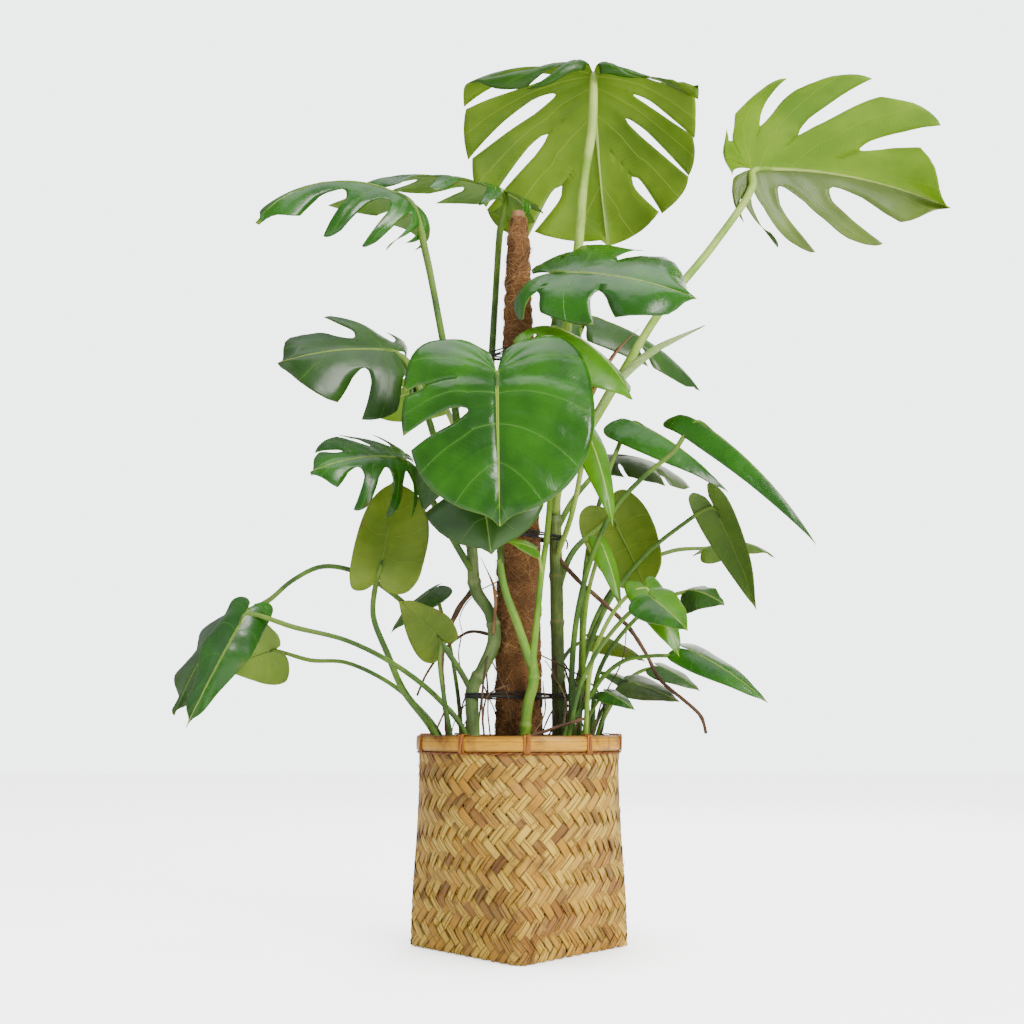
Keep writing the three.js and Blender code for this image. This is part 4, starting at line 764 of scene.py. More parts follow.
def bladeInto(shape, leaf, seed, paint):
    spot, halves, up = sheetOf(leaf)
    draw = random.Random(seed)
    cuts = cutSets[leaf["cuts"]]
    slit = slits[leaf.get("slit", "plain")]
    whole = not cuts
    loose = 0 if leaf["cuts"] in ("none", "heart") else 1
    small = leaf["width"] < 100
    edges = [[0, 1, 1]] + [list(c) for c in cuts] + [[1, 1, 1]]
    if whole:
        edges = [[k / blade["wholeVeins"], 1, 1] for k in range(blade["wholeVeins"] + 1)]
    columns = 5 if small else blade["lobeColumns"]
    rowCount = 10 if small else blade["rows"]
    fan = leaf.get("fan", 1)
    size = leaf["width"] / 200
    margin = outline[leaf.get("outline", "pointed" if whole else "lobed")]
    points, known, quads, values, paints = [], {}, [], [], []
    starts = sorted({s for c in cuts for s in c[1:3] if s < 1})
    rows = sorted(set(np.round(np.concatenate([np.linspace(0, 1, rowCount + 1), starts]), 4)))
    rows = [w for i, w in enumerate(rows) if i == 0 or w - rows[i - 1] > 0.012 or w in starts or w == 1]
    w = np.array(rows)
    for side in (-1, 1):
        at = 1 if side < 0 else 2
        for k in range(len(edges) - 1):
            sag = draw.uniform(0.3, 1.0) * blade["lobeSag"] * size * loose
            twist = draw.uniform(-1, 1) * 5.0 * size * loose
            reachOut = 1 + draw.uniform(-0.035, 0.02) * loose
            leftOpen, rightOpen = (openWidth(w, cut[at], cut[at + 2] if len(cut) > 3 else 1, slit)
                                   for cut in edges[k:k + 2])
            left, right = edges[k][0] + leftOpen, edges[k + 1][0] - rightOpen
            t = np.linspace(0, 1, columns + 1)
            s = left[:, None] + (right - left)[:, None] * t[None, :]
            ww = np.repeat(w[:, None], columns + 1, axis=1)
            blunt = np.ones_like(s)
            if not whole:
                short = (slit[2] * (edges[k][at] < 1) * (1 - t) ** 2
                         + slit[3] * (edges[k + 1][at] < 1) * t ** 2)
                blunt = 1 - short[None, :] * (ww ** 5)
            wide = ww * blunt * (1 + (reachOut - 1) * np.clip((ww - 0.5) * 2, 0, 1))
            wide = np.where(s >= 1, ww, wide)
            start = np.maximum(0, (s - outline["fanEnd"]) / (1 - outline["fanEnd"])) ** fan
            along = readTable(margin["along"], s)
            bow = 4 * outline["sweep"] * wide * (1 - wide) * np.minimum(1, 3 * (1 - s)) * np.minimum(1, 3 * s)
            u = start + (along - start) * wide - bow
            v = readTable(margin["out"], s) * wide * halves[at - 1]
            u, v = np.where(s >= 1, 1.0, u), np.where(s >= 1, 0.0, np.maximum(v, 0))
            flat = spot(u, v, side)
            lobeWide = np.linalg.norm(flat[:, -1] - flat[:, 0], axis=1)
            ray = np.linalg.norm(flat[-1] - flat[0], axis=1)
            vein = (t - 0.5)[None, :] * lobeWide[:, None]
            veinMark = vein / min(1.0, max(0.45, size))
            ribHalf = (blade["ribHalf"] * min(1.0, 0.35 + size * 0.6)) * (1 - 0.75 * np.clip(u, 0, 1))
            out = ww * ray[None, :]
            edge = (1 - ww) * ray[None, :]
            for opened, away in ((leftOpen, t), (rightOpen, 1 - t)):
                cutEdge = np.minimum(edge, away[None, :] * lobeWide[:, None])
                edge = np.where((opened > 0)[:, None], cutEdge, edge)
            broad = np.clip(lobeWide / 45, 0, 1)[:, None]
            groove = -blade["veinGroove"] * size * broad * np.exp(-(vein / 3.2) ** 2)
            groove = groove * np.clip(ww * 6, 0, 1) * (1 - 0.7 * ww)
            midGroove = -0.9 * size * np.exp(-(v / 5.0) ** 2)
            belly = blade["lobeSag"] * 0.3 * size * broad * (1 - (2 * t - 1) ** 2)[None, :]
            belly = belly * np.sin(math.pi * np.clip(ww, 0, 1)) ** 0.7
            free = np.clip((ww - 0.35) / 0.65, 0, 1) ** 2
            droop = -sag * free + twist * (2 * t - 1)[None, :] * free
            wave = np.sin(2 * math.pi * 3.3 * s + seed) * ww ** 2.5
            wave = wave * np.clip((1 - s) * 8, 0, 1) * np.clip(s * 8, 0, 1)
            lift = groove + midGroove + belly + droop + leaf.get("wavy", 2.2) * size * wave
            fade = np.clip(edge / 14, 0, 1)
            for i, j in np.ndindex(s.shape):
                ruffle = blade["ruffle"] * size * (1.2 - fade[i, j])
                lift[i, j] += ruffle * wobble(flat[i, j], 26 * max(size, 0.5), seed)
                lift[i, j] += 2.2 * size * wobble(flat[i, j], 75, seed + 5) * ww[i, j]
            placed = spot(u, v, side, np.where((v < 0.01) | (s >= 1), midGroove, lift))
            index = np.zeros(s.shape, int)
            for i, j in np.ndindex(s.shape):
                key = tuple(np.round(flat[i, j] * 20).astype(int))
                shared = (i == 0) or (j in (0, columns))
                if shared and key in known:
                    index[i, j] = known[key][0]
                    known[key][1].append(placed[i, j])
                else:
                    index[i, j] = len(points)
                    points.append(placed[i, j])
                    if shared:
                        known[key] = (index[i, j], [placed[i, j]])
            lobeMark = seed + k * 0.37 + (0.19 if side > 0 else 0)
            for i, j in np.ndindex(s.shape[0] - 1, columns):
                kept = []
                for a in [(i, j), (i, j + 1), (i + 1, j + 1), (i + 1, j)][::-side]:
                    if index[a] not in [index[b] for b in kept]:
                        kept.append(a)
                if len(kept) < 3:
                    continue
                quads.append([index[a] for a in kept])
                paints.append(paint[0 if side > 0 else 1])
                values.append([(veinMark[a], v[a] / max(ribHalf[a], 0.2), edge[a], lobeMark, out[a])
                               for a in kept])
    points = np.array(points)
    for order, several in known.values():
        points[order] = np.mean(several, axis=0)
    normals = np.zeros_like(points)
    for q in quads:
        a, b, c = points[q[0]], points[q[1]], points[q[2]]
        n = np.cross(b - a, c - a)
        if len(q) == 4:
            n = n + np.cross(c - a, points[q[3]] - a)
        for i in q:
            normals[i] += n
    normals /= np.maximum(np.linalg.norm(normals, axis=1), 1e-9)[:, None]
    if normals.dot(up).mean() < 0:
        normals = -normals
        quads = [q[::-1] for q in quads]
        values = [v[::-1] for v in values]
    halfThick = blade["thickness"] / 2
    upper, lower = points + normals * halfThick, points - normals * halfThick
    count = len(points)
    faces = [list(q) for q in quads]
    cornerValues = [[(*v, 0.0) for v in vs] for vs in values]
    faces += [[count + i for i in reversed(q)] for q in quads]
    cornerValues += [[(*v, 1.0) for v in reversed(vs)] for vs in values]
    paints += paints
    uses = {}
    for q, vs, own in zip(quads, values, paints):
        for i in range(len(q)):
            a, b = q[i], q[(i + 1) % len(q)]
            uses[(a, b)] = (vs[i], vs[(i + 1) % len(q)], own)
    for (a, b), (va, vb, own) in uses.items():
        if (b, a) not in uses:
            paints.append(own)
            faces.append([b, a, count + a, count + b])
            cornerValues.append([(*vb, 0.0), (*va, 0.0), (*va, 1.0), (*vb, 1.0)])
    shape.add(np.vstack([upper, lower]), faces, paints, cornerValues)


def stalkInto(shape, leaf, seed, paint):  # the stalk, its thicker knee and the rib under the blade
    spot, _, up = sheetOf(leaf)
    top = leaf["radius"][1]
    start = spot(0, 0, 1)
    tangent = unit(spot(0.01, 0, 1) - start)
    lift = unit(up - tangent * up.dot(tangent))
    under = start - lift * 0.8 * top
    end = spot(0.14, 0, 1) - lift * 0.6
    points = [*leaf["petiole"], under, end]
    spans = 6
    steps = (len(points) - 1) * spans
    path = alongCurve(points, steps)
    count = len(points)
    radii = [leaf["radius"][0] + (top - leaf["radius"][0]) * min(1, i / (count - 2)) for i in range(count)]
    radii[-1] = 0.5 * top
    radii = alongTable(radii, steps)
    at = np.arange(steps + 1)
    knee = (count - 2) * spans
    radii = radii * (1 + 0.16 * np.exp(-((at - knee + 5) / 3.0) ** 2))
    stop = knee + spans - 1
    ribs = np.linspace(0.12, 0.93, 16)
    ribPath = np.array([spot(u, 0, 1, -0.9 * leaf["width"] / 200 - 0.35 * r) for u, r in
                        zip(ribs, np.linspace(0.5 * top, 0.6, 16))])
    path = np.vstack([path[:stop], ribPath])
    radii = np.concatenate([radii[:stop], np.linspace(0.5 * top, 0.6, 16)])
    marks = np.zeros(len(path))
    marks[max(knee - 9, 0):knee + 2] = 0.45
    marks[stop:] = 0.7
    tubeInto(shape, path, radii, 10, paint, marks, seed)


def makeLeaf(name, leaf, order):
    shape = Shape()
    seed = 3.7 * order + 1
    # painted light and shade: the half look repaints the left half, darker as shade on upper_right, brighter
    # as light on young_glossy
    bladeInto(shape, leaf, seed, (0, 2 if "leftLook" in leaf else 0))
    stalkInto(shape, leaf, seed, 1)
    # painted light: leaves with the crown and bright looks get the sunlit stalk, the rest the shaded one
    stalk = "lime" if leaf["look"] in ("crown", "bright") else "green"
    paints = [bladePaints[leaf["look"]], stalkPaints[stalk]]
    if "leftLook" in leaf:
        paints.append(bladePaints[leaf["leftLook"]])
    shape.piece(camel(name), paints, name, "leaf_" + leaf["slot"])


for i, (name, leaf) in enumerate(leaves.items()):
    makeLeaf("leaf_" + name, {**usualLeaf, "look": usualLooks[leaf["slot"]], **leaf}, i)
print("leaves are made:", len(leaves))


# Stems, roots and dry sheaths. Each row is a place and a radius.
stems = {
    "stem_main": [[58, 30, 215, 10.5], [60, 28, 300, 10.5], [59, 26, 400, 10], [57, 24, 550, 10],
                  [54, 18, 680, 9], [49, 16, 790, 7]],
    "stem_left": [[-64, -24, 215, 9.5], [-66, -25, 298, 9.5], [-67, -26, 362, 10], [-52, -27, 392, 9],
                  [-36, -30, 432, 10], [-43, -30, 472, 8.5], [-63, -25, 505, 9.5], [-69, -22, 560, 8.5],
                  [-72, -16, 630, 8], [-70, -12, 690, 7]],
}
frontStem = {
    "trunk": [[8, -56, 215, 7.5], [9, -56, 298, 7.5], [12, -57, 335, 7.5], [21, -59, 372, 7.5],
              [18, -60, 408, 7]],
    "right": [[18, -59, 392, 6], [26, -61, 460, 4.8], [33, -62, 527, 4.6], [42, -63, 585, 4.2]],
    "left": [[18, -59, 392, 6.6], [-2, -65, 452, 6], [-20, -70, 501, 5.2], [-28, -73, 545, 4.8]],
}
stemLook = {"nodeGap": [48, 96], "swell": 0.16, "sides": 20, "step": 3.0}
stemPaints = {
    "old": skinMaterial("old stem", (84, 108, 42), (120, 144, 62), (54, 64, 28), (140, 124, 78),
                        (96, 80, 52), gloss=0.46, streaks=0.8, pits=0.2),
    "blue": skinMaterial("blue-green stem", (92, 122, 56), (138, 158, 92), (50, 74, 34), (150, 146, 90),
                         (108, 94, 56), gloss=0.4, streaks=0.6, pits=0.15),
    "bright": skinMaterial("bright stem", (96, 150, 26), (144, 186, 50), (56, 98, 20), (160, 176, 70),
                           (96, 104, 44), gloss=0.36, streaks=0.5, pits=0.1),
}
rootPaint = skinMaterial("dry root", (88, 60, 40), (128, 96, 68), (44, 29, 21), (150, 118, 84), (64, 44, 30),
                         gloss=0.75, streaks=0.7, pits=0.5)
sheathPaint = skinMaterial("dry sheath", (150, 100, 60), (190, 144, 98), (88, 54, 32), (120, 76, 44),
                           (120, 84, 52), gloss=0.7, streaks=0.8, pits=0.3)
spearPaint = skinMaterial("young spear", (140, 176, 84), (190, 210, 138), (96, 136, 56), (200, 212, 140),
                          (120, 150, 70), gloss=0.35, streaks=0.5, pits=0.1)


def stemInto(shape, rows, seed, rings=True):
    steps = int(sum(np.linalg.norm(np.diff(np.array(rows, float)[:, :3], axis=0), axis=1)) / stemLook["step"])
    path = alongCurve([r[:3] for r in rows], steps)
    radii = alongTable([r[3] for r in rows], steps)
    run = lengthsAlong(path)
    draw = random.Random(seed)
    marks = np.zeros(len(path))
    at = draw.uniform(*stemLook["nodeGap"])
    while rings and at < run[-1] - 12:
        near = run - at
        swell = stemLook["swell"] * np.exp(-(near / 4.5) ** 2)
        radii = radii * (1 + swell - 0.05 * np.exp(-((near - 5.5) / 1.8) ** 2))
        marks = np.maximum(marks, draw.uniform(0.25, 0.8) * np.exp(-(near / 1.6) ** 2))
        at += draw.uniform(*stemLook["nodeGap"])
    tubeInto(shape, path, radii, stemLook["sides"], 0, marks, seed, 0.03)


def makeStems():
    for name, rows in stems.items():
        shape = Shape()
        stemInto(shape, rows, len(name) + 0.5)
        paint = stemPaints["old" if name == "stem_main" else "blue"]
        shape.piece(name.split("_")[1] + "Stem", [paint], name, "stem")
    shape = Shape()
    for i, rows in enumerate(frontStem.values()):
        stemInto(shape, rows, 4.2 + i, i == 0)
    shape.piece("frontStem", [stemPaints["bright"]], "stem_front", "stem")


roots = {
    "root_long": {"points": [[57, 22, 566], [84, 8, 530], [125, -6, 490], [162, -16, 452], [185, -20, 416],
                             [205, -30, 375], [233, -38, 349], [261, -45, 322], [267, -48, 298]],
                  "radius": [3.6, 2.4]},
    "root_left_thick": {"points": [[-66, -22, 512], [-96, -4, 468], [-114, -8, 416], [-111, -10, 364],
                                   [-104, -10, 298], [-98, -10, 236]], "radius": [4.2, 3.6]},
    "root_left_thin": {"points": [[-40, -26, 440], [-76, 8, 446], [-112, 8, 420], [-136, -6, 384],
                                  [-148, -24, 352]], "radius": [2.6, 1.6]},
    "root_front": {"points": [[-12, -100, 236], [4, -102, 285], [42, -102, 303], [90, -102, 318]],
                   "radius": [3, 2]},
}
# Thin rootlets that loop out of the soil and up the pole: points, then the thickness
rootlets = {
    "root_long": [[[70, -36, 262], [88, -44, 330], [96, -30, 372], [70, -10, 392], [30, -42, 410], 1.5],
                  [[112, 30, 262], [128, 24, 322], [112, 8, 366], [72, 30, 380], 1.8],
                  [[96, -58, 262], [118, -54, 340], [150, -40, 402], [160, -16, 450], 1.3],
                  [[40, 44, 262], [28, 58, 340], [-12, 46, 420], [-36, 24, 470], 1.6]],
    "root_left_thick": [[[-108, -8, 330], [-122, -20, 296], [-118, -30, 262], 1.6],
                        [[-44, -46, 262], [-52, -50, 320], [-44, -38, 352], [-12, -40, 368], 1.7],
                        [[-78, 30, 262], [-84, 40, 340], [-50, 34, 400], [-28, 30, 452], 1.4]],
    "root_left_thin": [[[-86, 8, 443], [-90, 24, 400], [-70, 40, 350], [-62, 44, 262], 1.1],
                       [[-30, -22, 520], [-70, 12, 500], [-88, 14, 470], [-84, 8, 444], 1.0]],
    "root_front": [[[10, -102, 288], [22, -84, 300], [38, -52, 330], [34, -38, 372], 1.3],
                   [[60, -102, 308], [66, -90, 340], [50, -60, 380], [38, -34, 402], 1.0]],
}


# Fine dark roots from a stem down into the soil: how many, the stem and how far out they bow
fineRoots = {
    "root_left_thick": {"many": 16, "stem": "stem_left", "bow": [12, 42], "thick": [1.0, 1.8]},
    "root_long": {"many": 16, "stem": "stem_main", "bow": [12, 42], "thick": [0.9, 1.7]},
}


def fineRootsOf(rule, seed):  # rows of points with a thickness at the end, like the rootlets
    draw = random.Random(seed)
    line = np.array(stems[rule["stem"]], float)
    rows = []
    for _ in range(rule["many"]):
        turn, top = draw.uniform(0, 2 * math.pi), draw.uniform(290, 430)
        x, y = (float(np.interp(top, line[:, 2], line[:, k])) for k in (0, 1))
        bow = draw.uniform(*rule["bow"])
        out = np.array([math.cos(turn), math.sin(turn)])
        aside = np.array([-out[1], out[0]]) * draw.uniform(-16, 16)
        row = [[x + 4 * out[0], y + 4 * out[1], top]]
        for share, reach in ((0.18, 0.55), (0.5, 1.0), (0.8, 0.9)):
            row.append([x + out[0] * bow * reach + aside[0] * share,
                        y + out[1] * bow * reach + aside[1] * share, top - (top - 258) * share])
        row.append([x + out[0] * bow * 0.7 + aside[0], y + out[1] * bow * 0.7 + aside[1], 252])
        if max(math.hypot(q[0], q[1]) for q in row) < 118:
            rows.append(row + [draw.uniform(*rule["thick"])])
    return rows


def makeRoots():
    for order, (name, root) in enumerate(roots.items()):
        shape = Shape()
        seed = 7.3 + order
        several = [(root["points"], root["radius"], 12)]
        several += [(r[:-1], [r[-1], 0.7 * r[-1]], 8) for r in rootlets[name]]
        if name in fineRoots:
            several += [(r[:-1], [r[-1], 0.6 * r[-1]], 6) for r in fineRootsOf(fineRoots[name], order + 3)]
        for k, (points, radius, sides) in enumerate(several):
            steps = (len(points) - 1) * 9
            path = alongCurve(points, steps)
            for i in range(1, len(path)):
                aside = np.array([wobble(path[i], 28, seed + k), wobble(path[i], 31, seed + 4), 0])
                path[i] += aside * (1.6 if k else 0.9)
            radii = alongTable(radius, steps)
            radii = radii * np.array([1 + 0.14 * wobble(p, 17, seed) for p in path])
            marks = [0.5 if wobble(p, 12, seed + 9) > 0.42 else 0 for p in path]
            tubeInto(shape, path, radii, sides, 0, marks, seed + k, 0.25)
        shape.piece(camel(name), [rootPaint], name, "dry_root")


def shellInto(shape, path, radii, opened, seed, thickness=0.8, columns=12, torn=6.0):
    # a papery half tube with two layers; opened is the angle of its arc at each point, in degrees
    across, third, ahead = turnedFrames(path)
    run = lengthsAlong(path)
    points = []
    for layer in (0, 1):
        for i, centre in enumerate(path):
            arc = math.radians(opened[i])
            for c in range(columns + 1):
                turn = arc * (c / columns - 0.5) + 1.4
                wave = 1 + 0.14 * wobble(centre + np.array([c * 3, 0, 0]), 14, seed)
                r = radii[i] * wave - layer * thickness
                end = 1 if i in (0, len(path) - 1) else 0
                slip = ahead[i] * torn * wobble((c * 2.3, i, 0), 2.1, seed) * end
                points.append(centre + (across[i] * math.cos(turn) + third[i] * math.sin(turn)) * r + slip)

    def value(i, c, layer):
        return (c / columns * 0.6, run[i], radii[i], 0.35 * layer, run[i] / run[-1], seed)
    faces, values = sheetFaces(len(path), columns, value)
    shape.add(points, faces, 0, values)


sheaths = {
    "dry_sheath_left": {"points": [[-40, -42, 440], [-37, -43, 500], [-56, -38, 551]],
                        "radius": [4.6, 4.4, 1.2], "open": [150, 190, 70]},
    "dry_sheath_right": {"points": [[83, -12, 712], [88, -38, 748], [112, -48, 808], [150, -44, 872],
                                    [182, -36, 905]],
                         "radius": [4.4, 5.4, 5.6, 4.4, 1.2], "open": [120, 170, 200, 180, 60]},
}
spear = {"points": [[104, -12, 752], [124, -32, 786], [150, -36, 822], [206, -46, 868], [280, -64, 901]],
         "radius": [4, 4.6, 7.4, 6.2, 0.9], "turns": 1.6, "steps": 90, "sides": 28}


def makeSheaths():
    for i, (name, row) in enumerate(sheaths.items()):
        shape = Shape()
        steps = (len(row["points"]) - 1) * 14
        shellInto(shape, alongCurve(row["points"], steps), alongTable(row["radius"], steps),
                  alongTable(row["open"], steps), 5.1 + i)
        shape.piece(camel(name), [sheathPaint], name, "dry_sheath")


def makeSpear():  # a leaf still rolled up, with the free edge winding round it as a small step
    shape = Shape()
    steps, sides = spear["steps"], spear["sides"]
    path = alongCurve(spear["points"], steps)
    radii = alongTable(spear["radius"], steps)
    across, third, _ = turnedFrames(path)
    run = lengthsAlong(path)
    points = []
    for i, centre in enumerate(path):
        seam = spear["turns"] * 2 * math.pi * (i / steps) ** 1.3
        for k in range(sides):
            r = radii[i] * (0.86 + 0.2 * k / (sides - 1))
            turn = seam + 2 * math.pi * k / sides
            points.append(centre + (across[i] * math.cos(turn) + third[i] * math.sin(turn)) * r)

    def value(i, k):
        return (k / sides, run[i], radii[i], 0.5 if k in (0, sides) else 0, run[i] / run[-1], 2.2)
    faces, values = ringFaces(steps + 1, sides, value)
    faces += [list(range(sides))[::-1], [steps * sides + k for k in range(sides)]]
    values += [[value(0, k) for k in range(sides)][::-1], [value(steps, k) for k in range(sides)]]
    shape.add(points, faces, 0, values)
    shape.piece("leafSpear", [spearPaint], "leaf_spear", "leaf_bright", crease=55)


# Coir pole, ties and the stake inside
pole = {
    "profile": [[190, 36], [330, 36], [560, 34.5], [860, 27], [1060, 19], [1098, 15]],
    "lumps": 2.6,
    "crevices": 3.0,
    "sides": 72,
    "ringStep": 3.2,
    "fibres": 3000,
    "fibreLength": [16, 54],
    "fibreRadius": [0.28, 0.52],
    "looseShare": 0.07,
    "stakeRadius": 11,
    "stakeFoot": 40,
    "stakeTop": 1110,
}
coirPaints = [
    looseMaterial("coir mat", (128, 84, 44), (178, 128, 76), (46, 28, 15), fineness=700, gloss=0.9,
                  lumps=1.2, bump=2.4),
    looseMaterial("coir fibres", (140, 92, 48), (208, 160, 102), (84, 50, 26), fineness=300, gloss=0.75,
                  lumps=0.2, bump=0.3),
]
tiePaint = looseMaterial("tie cord", (20, 20, 21), (38, 38, 38), (10, 10, 10), fineness=1400, gloss=0.55,
                         lumps=0.4, bump=0.5)
stakePaint = newMaterial("stake wood", caneGroup, {
    "Main": (150, 112, 68), "Pale": (178, 142, 96), "Brown": (96, 62, 34), "Rim width": 0.001, "Variety": 0.4,
    "Fibres": 1.0, "Wear": 0.5})


def poleRadius(z):
    return float(np.interp(z, [r[0] for r in pole["profile"]], [r[1] for r in pole["profile"]]))


def coirRadius(turn, z):  # the lumpy mat, with creases where its folds meet
    r = poleRadius(z) - 1.6
    p = np.array([r * math.cos(turn), r * math.sin(turn), z])
    fold = max(0.0, 0.3 - abs(wobble(p, 24, 6.7))) / 0.3
    return r + pole["lumps"] * wobble(p, 19, 1.1) + 1.0 * wobble(p, 6.5, 2.3) - pole["crevices"] * fold ** 2


def makeCoir():
    shape = Shape()
    sides = pole["sides"]
    low, high = pole["profile"][0][0], pole["profile"][-1][0]
    levels = np.linspace(low, high, int((high - low) / pole["ringStep"]))
    points = []
    for z in levels:
        for k in range(sides):
            turn = 2 * math.pi * k / sides
            r = coirRadius(turn, z)
            points.append((r * math.cos(turn), r * math.sin(turn), z))
    faces, _ = ringFaces(len(levels), sides)
    top = (len(levels) - 1) * sides
    inner = [(x * 0.82, y * 0.82, z + 1.5) for x, y, z in points[top:top + sides]]
    points += inner + [(0, 0, low), (0, 0, high - 4)]
    for k in range(sides):
        n = (k + 1) % sides
        faces += [(top + k, top + n, top + sides + n, top + sides + k),
                  (top + sides + k, top + sides + n, len(points) - 1), (len(points) - 2, n, k)]
    shape.add(points, faces, 0)
    draw = random.Random(11)
    for _ in range(pole["fibres"]):
        loose = draw.random() < pole["looseShare"]
        reach = draw.uniform(*pole["fibreLength"])
        z0 = low + 40 + (high - low - 44) * draw.random() ** 1.15
        turn0 = draw.uniform(0, 2 * math.pi)
        slope = draw.gauss(0, 0.75)
        around = 1 if draw.random() < 0.5 else -1
        bulge = draw.uniform(0.2, 1.5) + (draw.uniform(2.0, 5.0) if loose else 0)
        bendy = draw.uniform(-0.7, 0.7)
        pieces = 7
        path = []
        for i in range(pieces + 1):
            t = i / pieces
            angle = slope + bendy * (t - 0.5)
            z = z0 + reach * (t - 0.5) * math.sin(angle)
            if z > high:
                z = 2 * high - z
            turn = turn0 + around * reach * (t - 0.5) * math.cos(angle) / max(poleRadius(z), 10)
            r = coirRadius(turn, z) + 0.1 + bulge * (t if loose else math.sin(math.pi * t))
            path.append((r * math.cos(turn), r * math.sin(turn), z))
        thin = draw.uniform(*pole["fibreRadius"])
        tubeInto(shape, np.array(path), np.linspace(thin, thin * 0.6, pieces + 1), 3, 1, 0,
                 draw.random() * 50, first=(0.1, 0.2, 1))
    shape.piece("coirPole", coirPaints, "coir_sleeve", "coir")


def makeStake():
    shape = Shape()
    sides = 40
    end = pole["stakeTop"]
    levels = [*np.linspace(pole["stakeFoot"], end - 2, 60), end - 1, end]
    points = []
    for i, z in enumerate(levels):
        r = pole["stakeRadius"] - (0.5 if i == len(levels) - 2 else 1.6 if i == len(levels) - 1 else 0)
        for k in range(sides):
            turn = 2 * math.pi * k / sides
            q = r * (1 + 0.02 * wobble((8 * math.cos(turn), 8 * math.sin(turn), z / 12), 4, 3))
            points.append((q * math.cos(turn), q * math.sin(turn), z))

    def value(i, k):
        return (2 * abs(2 * (k / sides) - 1) - 1, levels[i], 0, 0.3, 0.1, 0)
    faces, values = ringFaces(len(levels), sides, value)
    last = (len(levels) - 1) * sides
    faces += [list(range(sides))[::-1], [last + k for k in range(sides)]]
    values += [[(0.4 * math.cos(k), 0, 0, 0.3, 0.1, 0.2) for k in range(sides)]] * 2
    shape.add(points, faces, 0, values)
    shape.piece("poleStake", [stakePaint], "pole_stake", "stake_wood", crease=40)


# Ties: the height of each and the stalks that it takes in beside the pole, with their middle and radius
ties = {
    "tie_upper": {"height": 876, "round": [[-42.4, 9.9, 6.5]], "knot": -70},
    "tie_middle": {"height": 590, "round": [[56.1, 22.2, 11.7]], "knot": -40},
    "tie_lower": {"height": 352, "round": [[59.5, 27.0, 13.5], [-66.8, -25.8, 9.9]], "knot": -52},
}
cord = {"radius": 1.35, "offsets": [-3.6, -0.4, 3.0], "clear": 0.3, "tail": 17}


def pulledRound(circles, clear, count=64):  # the outline of a cord pulled round circles side by side
    turns = [2 * math.pi * i / count for i in range(count)]
    dots = sorted((x + (r + clear) * math.cos(turn), y + (r + clear) * math.sin(turn))
                  for x, y, r in circles for turn in turns)

    def chain(several):
        hull = []
        for p in several:
            while len(hull) > 1 and ((hull[-1][0] - hull[-2][0]) * (p[1] - hull[-2][1])
                                     - (hull[-1][1] - hull[-2][1]) * (p[0] - hull[-2][0])) <= 0:
                hull.pop()
            hull.append(p)
        return hull
    return chain(dots)[:-1] + chain(dots[::-1])[:-1]


def ringInto(shape, path, radius, sides=8, seed=0.0):  # a closed loop of cord
    path = np.array(path)
    count = len(path)
    ahead = unitRows(np.roll(path, -1, axis=0) - np.roll(path, 1, axis=0))
    points = []
    for i in range(count):
        side = unit(np.cross(ahead[i], (0, 0, 1.0)))
        other = np.cross(side, ahead[i])
        for k in range(sides):
            turn = 2 * math.pi * k / sides
            points.append(path[i] + side * math.cos(turn) * radius + other * math.sin(turn) * radius)
    faces, values = ringFaces(count, sides, lambda i, k: (0, 0, 0, 0, 0, seed), closed=True)
    shape.add(points, faces, 0, values)


def makeTies():
    for name, row in ties.items():
        shape = Shape()
        z = row["height"]
        circles = [[0, 0, poleRadius(z - 5.5)], *row["round"]]
        loop = pulledRound(circles, cord["clear"] + cord["radius"])
        for n, offset in enumerate(cord["offsets"]):
            path = []
            for i, (x, y) in enumerate(loop):
                nx, ny = loop[(i + 1) % len(loop)]
                cuts = max(1, int(math.hypot(nx - x, ny - y) / 5))
                path += [(x + (nx - x) * c / cuts, y + (ny - y) * c / cuts) for c in range(cuts)]
            path = [(x, y, z + offset + 1.1 * math.sin(math.atan2(y, x) * 2 + n * 2.1 + z)) for x, y in path]
            ringInto(shape, path, cord["radius"], seed=n + z)
        turn = math.radians(row["knot"])
        way = np.array([math.cos(turn), math.sin(turn), 0])
        along = np.array([-way[1], way[0], 0])
        near = max(loop, key=lambda p: p[0] * way[0] + p[1] * way[1])
        middle = np.array([near[0], near[1], z]) + way * 1.2
        knot = []
        for i in range(49):
            t = 2 * math.pi * i / 48
            out = (math.sin(t) + 2 * math.sin(2 * t), math.cos(t) - 2 * math.cos(2 * t), -math.sin(3 * t))
            rise = np.array([0, 0, 1]) * out[1] * 1.5
            knot.append(middle + along * out[0] * 1.5 + rise + way * out[2] * 1.3)
        ringInto(shape, knot[:-1], cord["radius"], seed=9)
        for side in (-1, 1):
            end = cord["tail"] * (1 if side > 0 else 0.8)
            tail = [middle] + [middle + along * a * side + way * b + np.array([0, 0, -drop])
                               for a, b, drop in ((4, 1.5, 2.0), (8, 3, cord["tail"] * 0.5), (7, 2.0, end))]
            tubeInto(shape, alongCurve(tail, 15), np.full(16, cord["radius"] * 0.95), 8, 0, 0, 3)
        shape.piece(name.split("_")[1] + "Tie", [tiePaint], name, "tie")


makeStems()
makeRoots()
makeSheaths()
makeSpear()
print("stems, roots and sheaths are made")
makeCoir()
makeStake()
makeTies()
print("pole and ties are made")


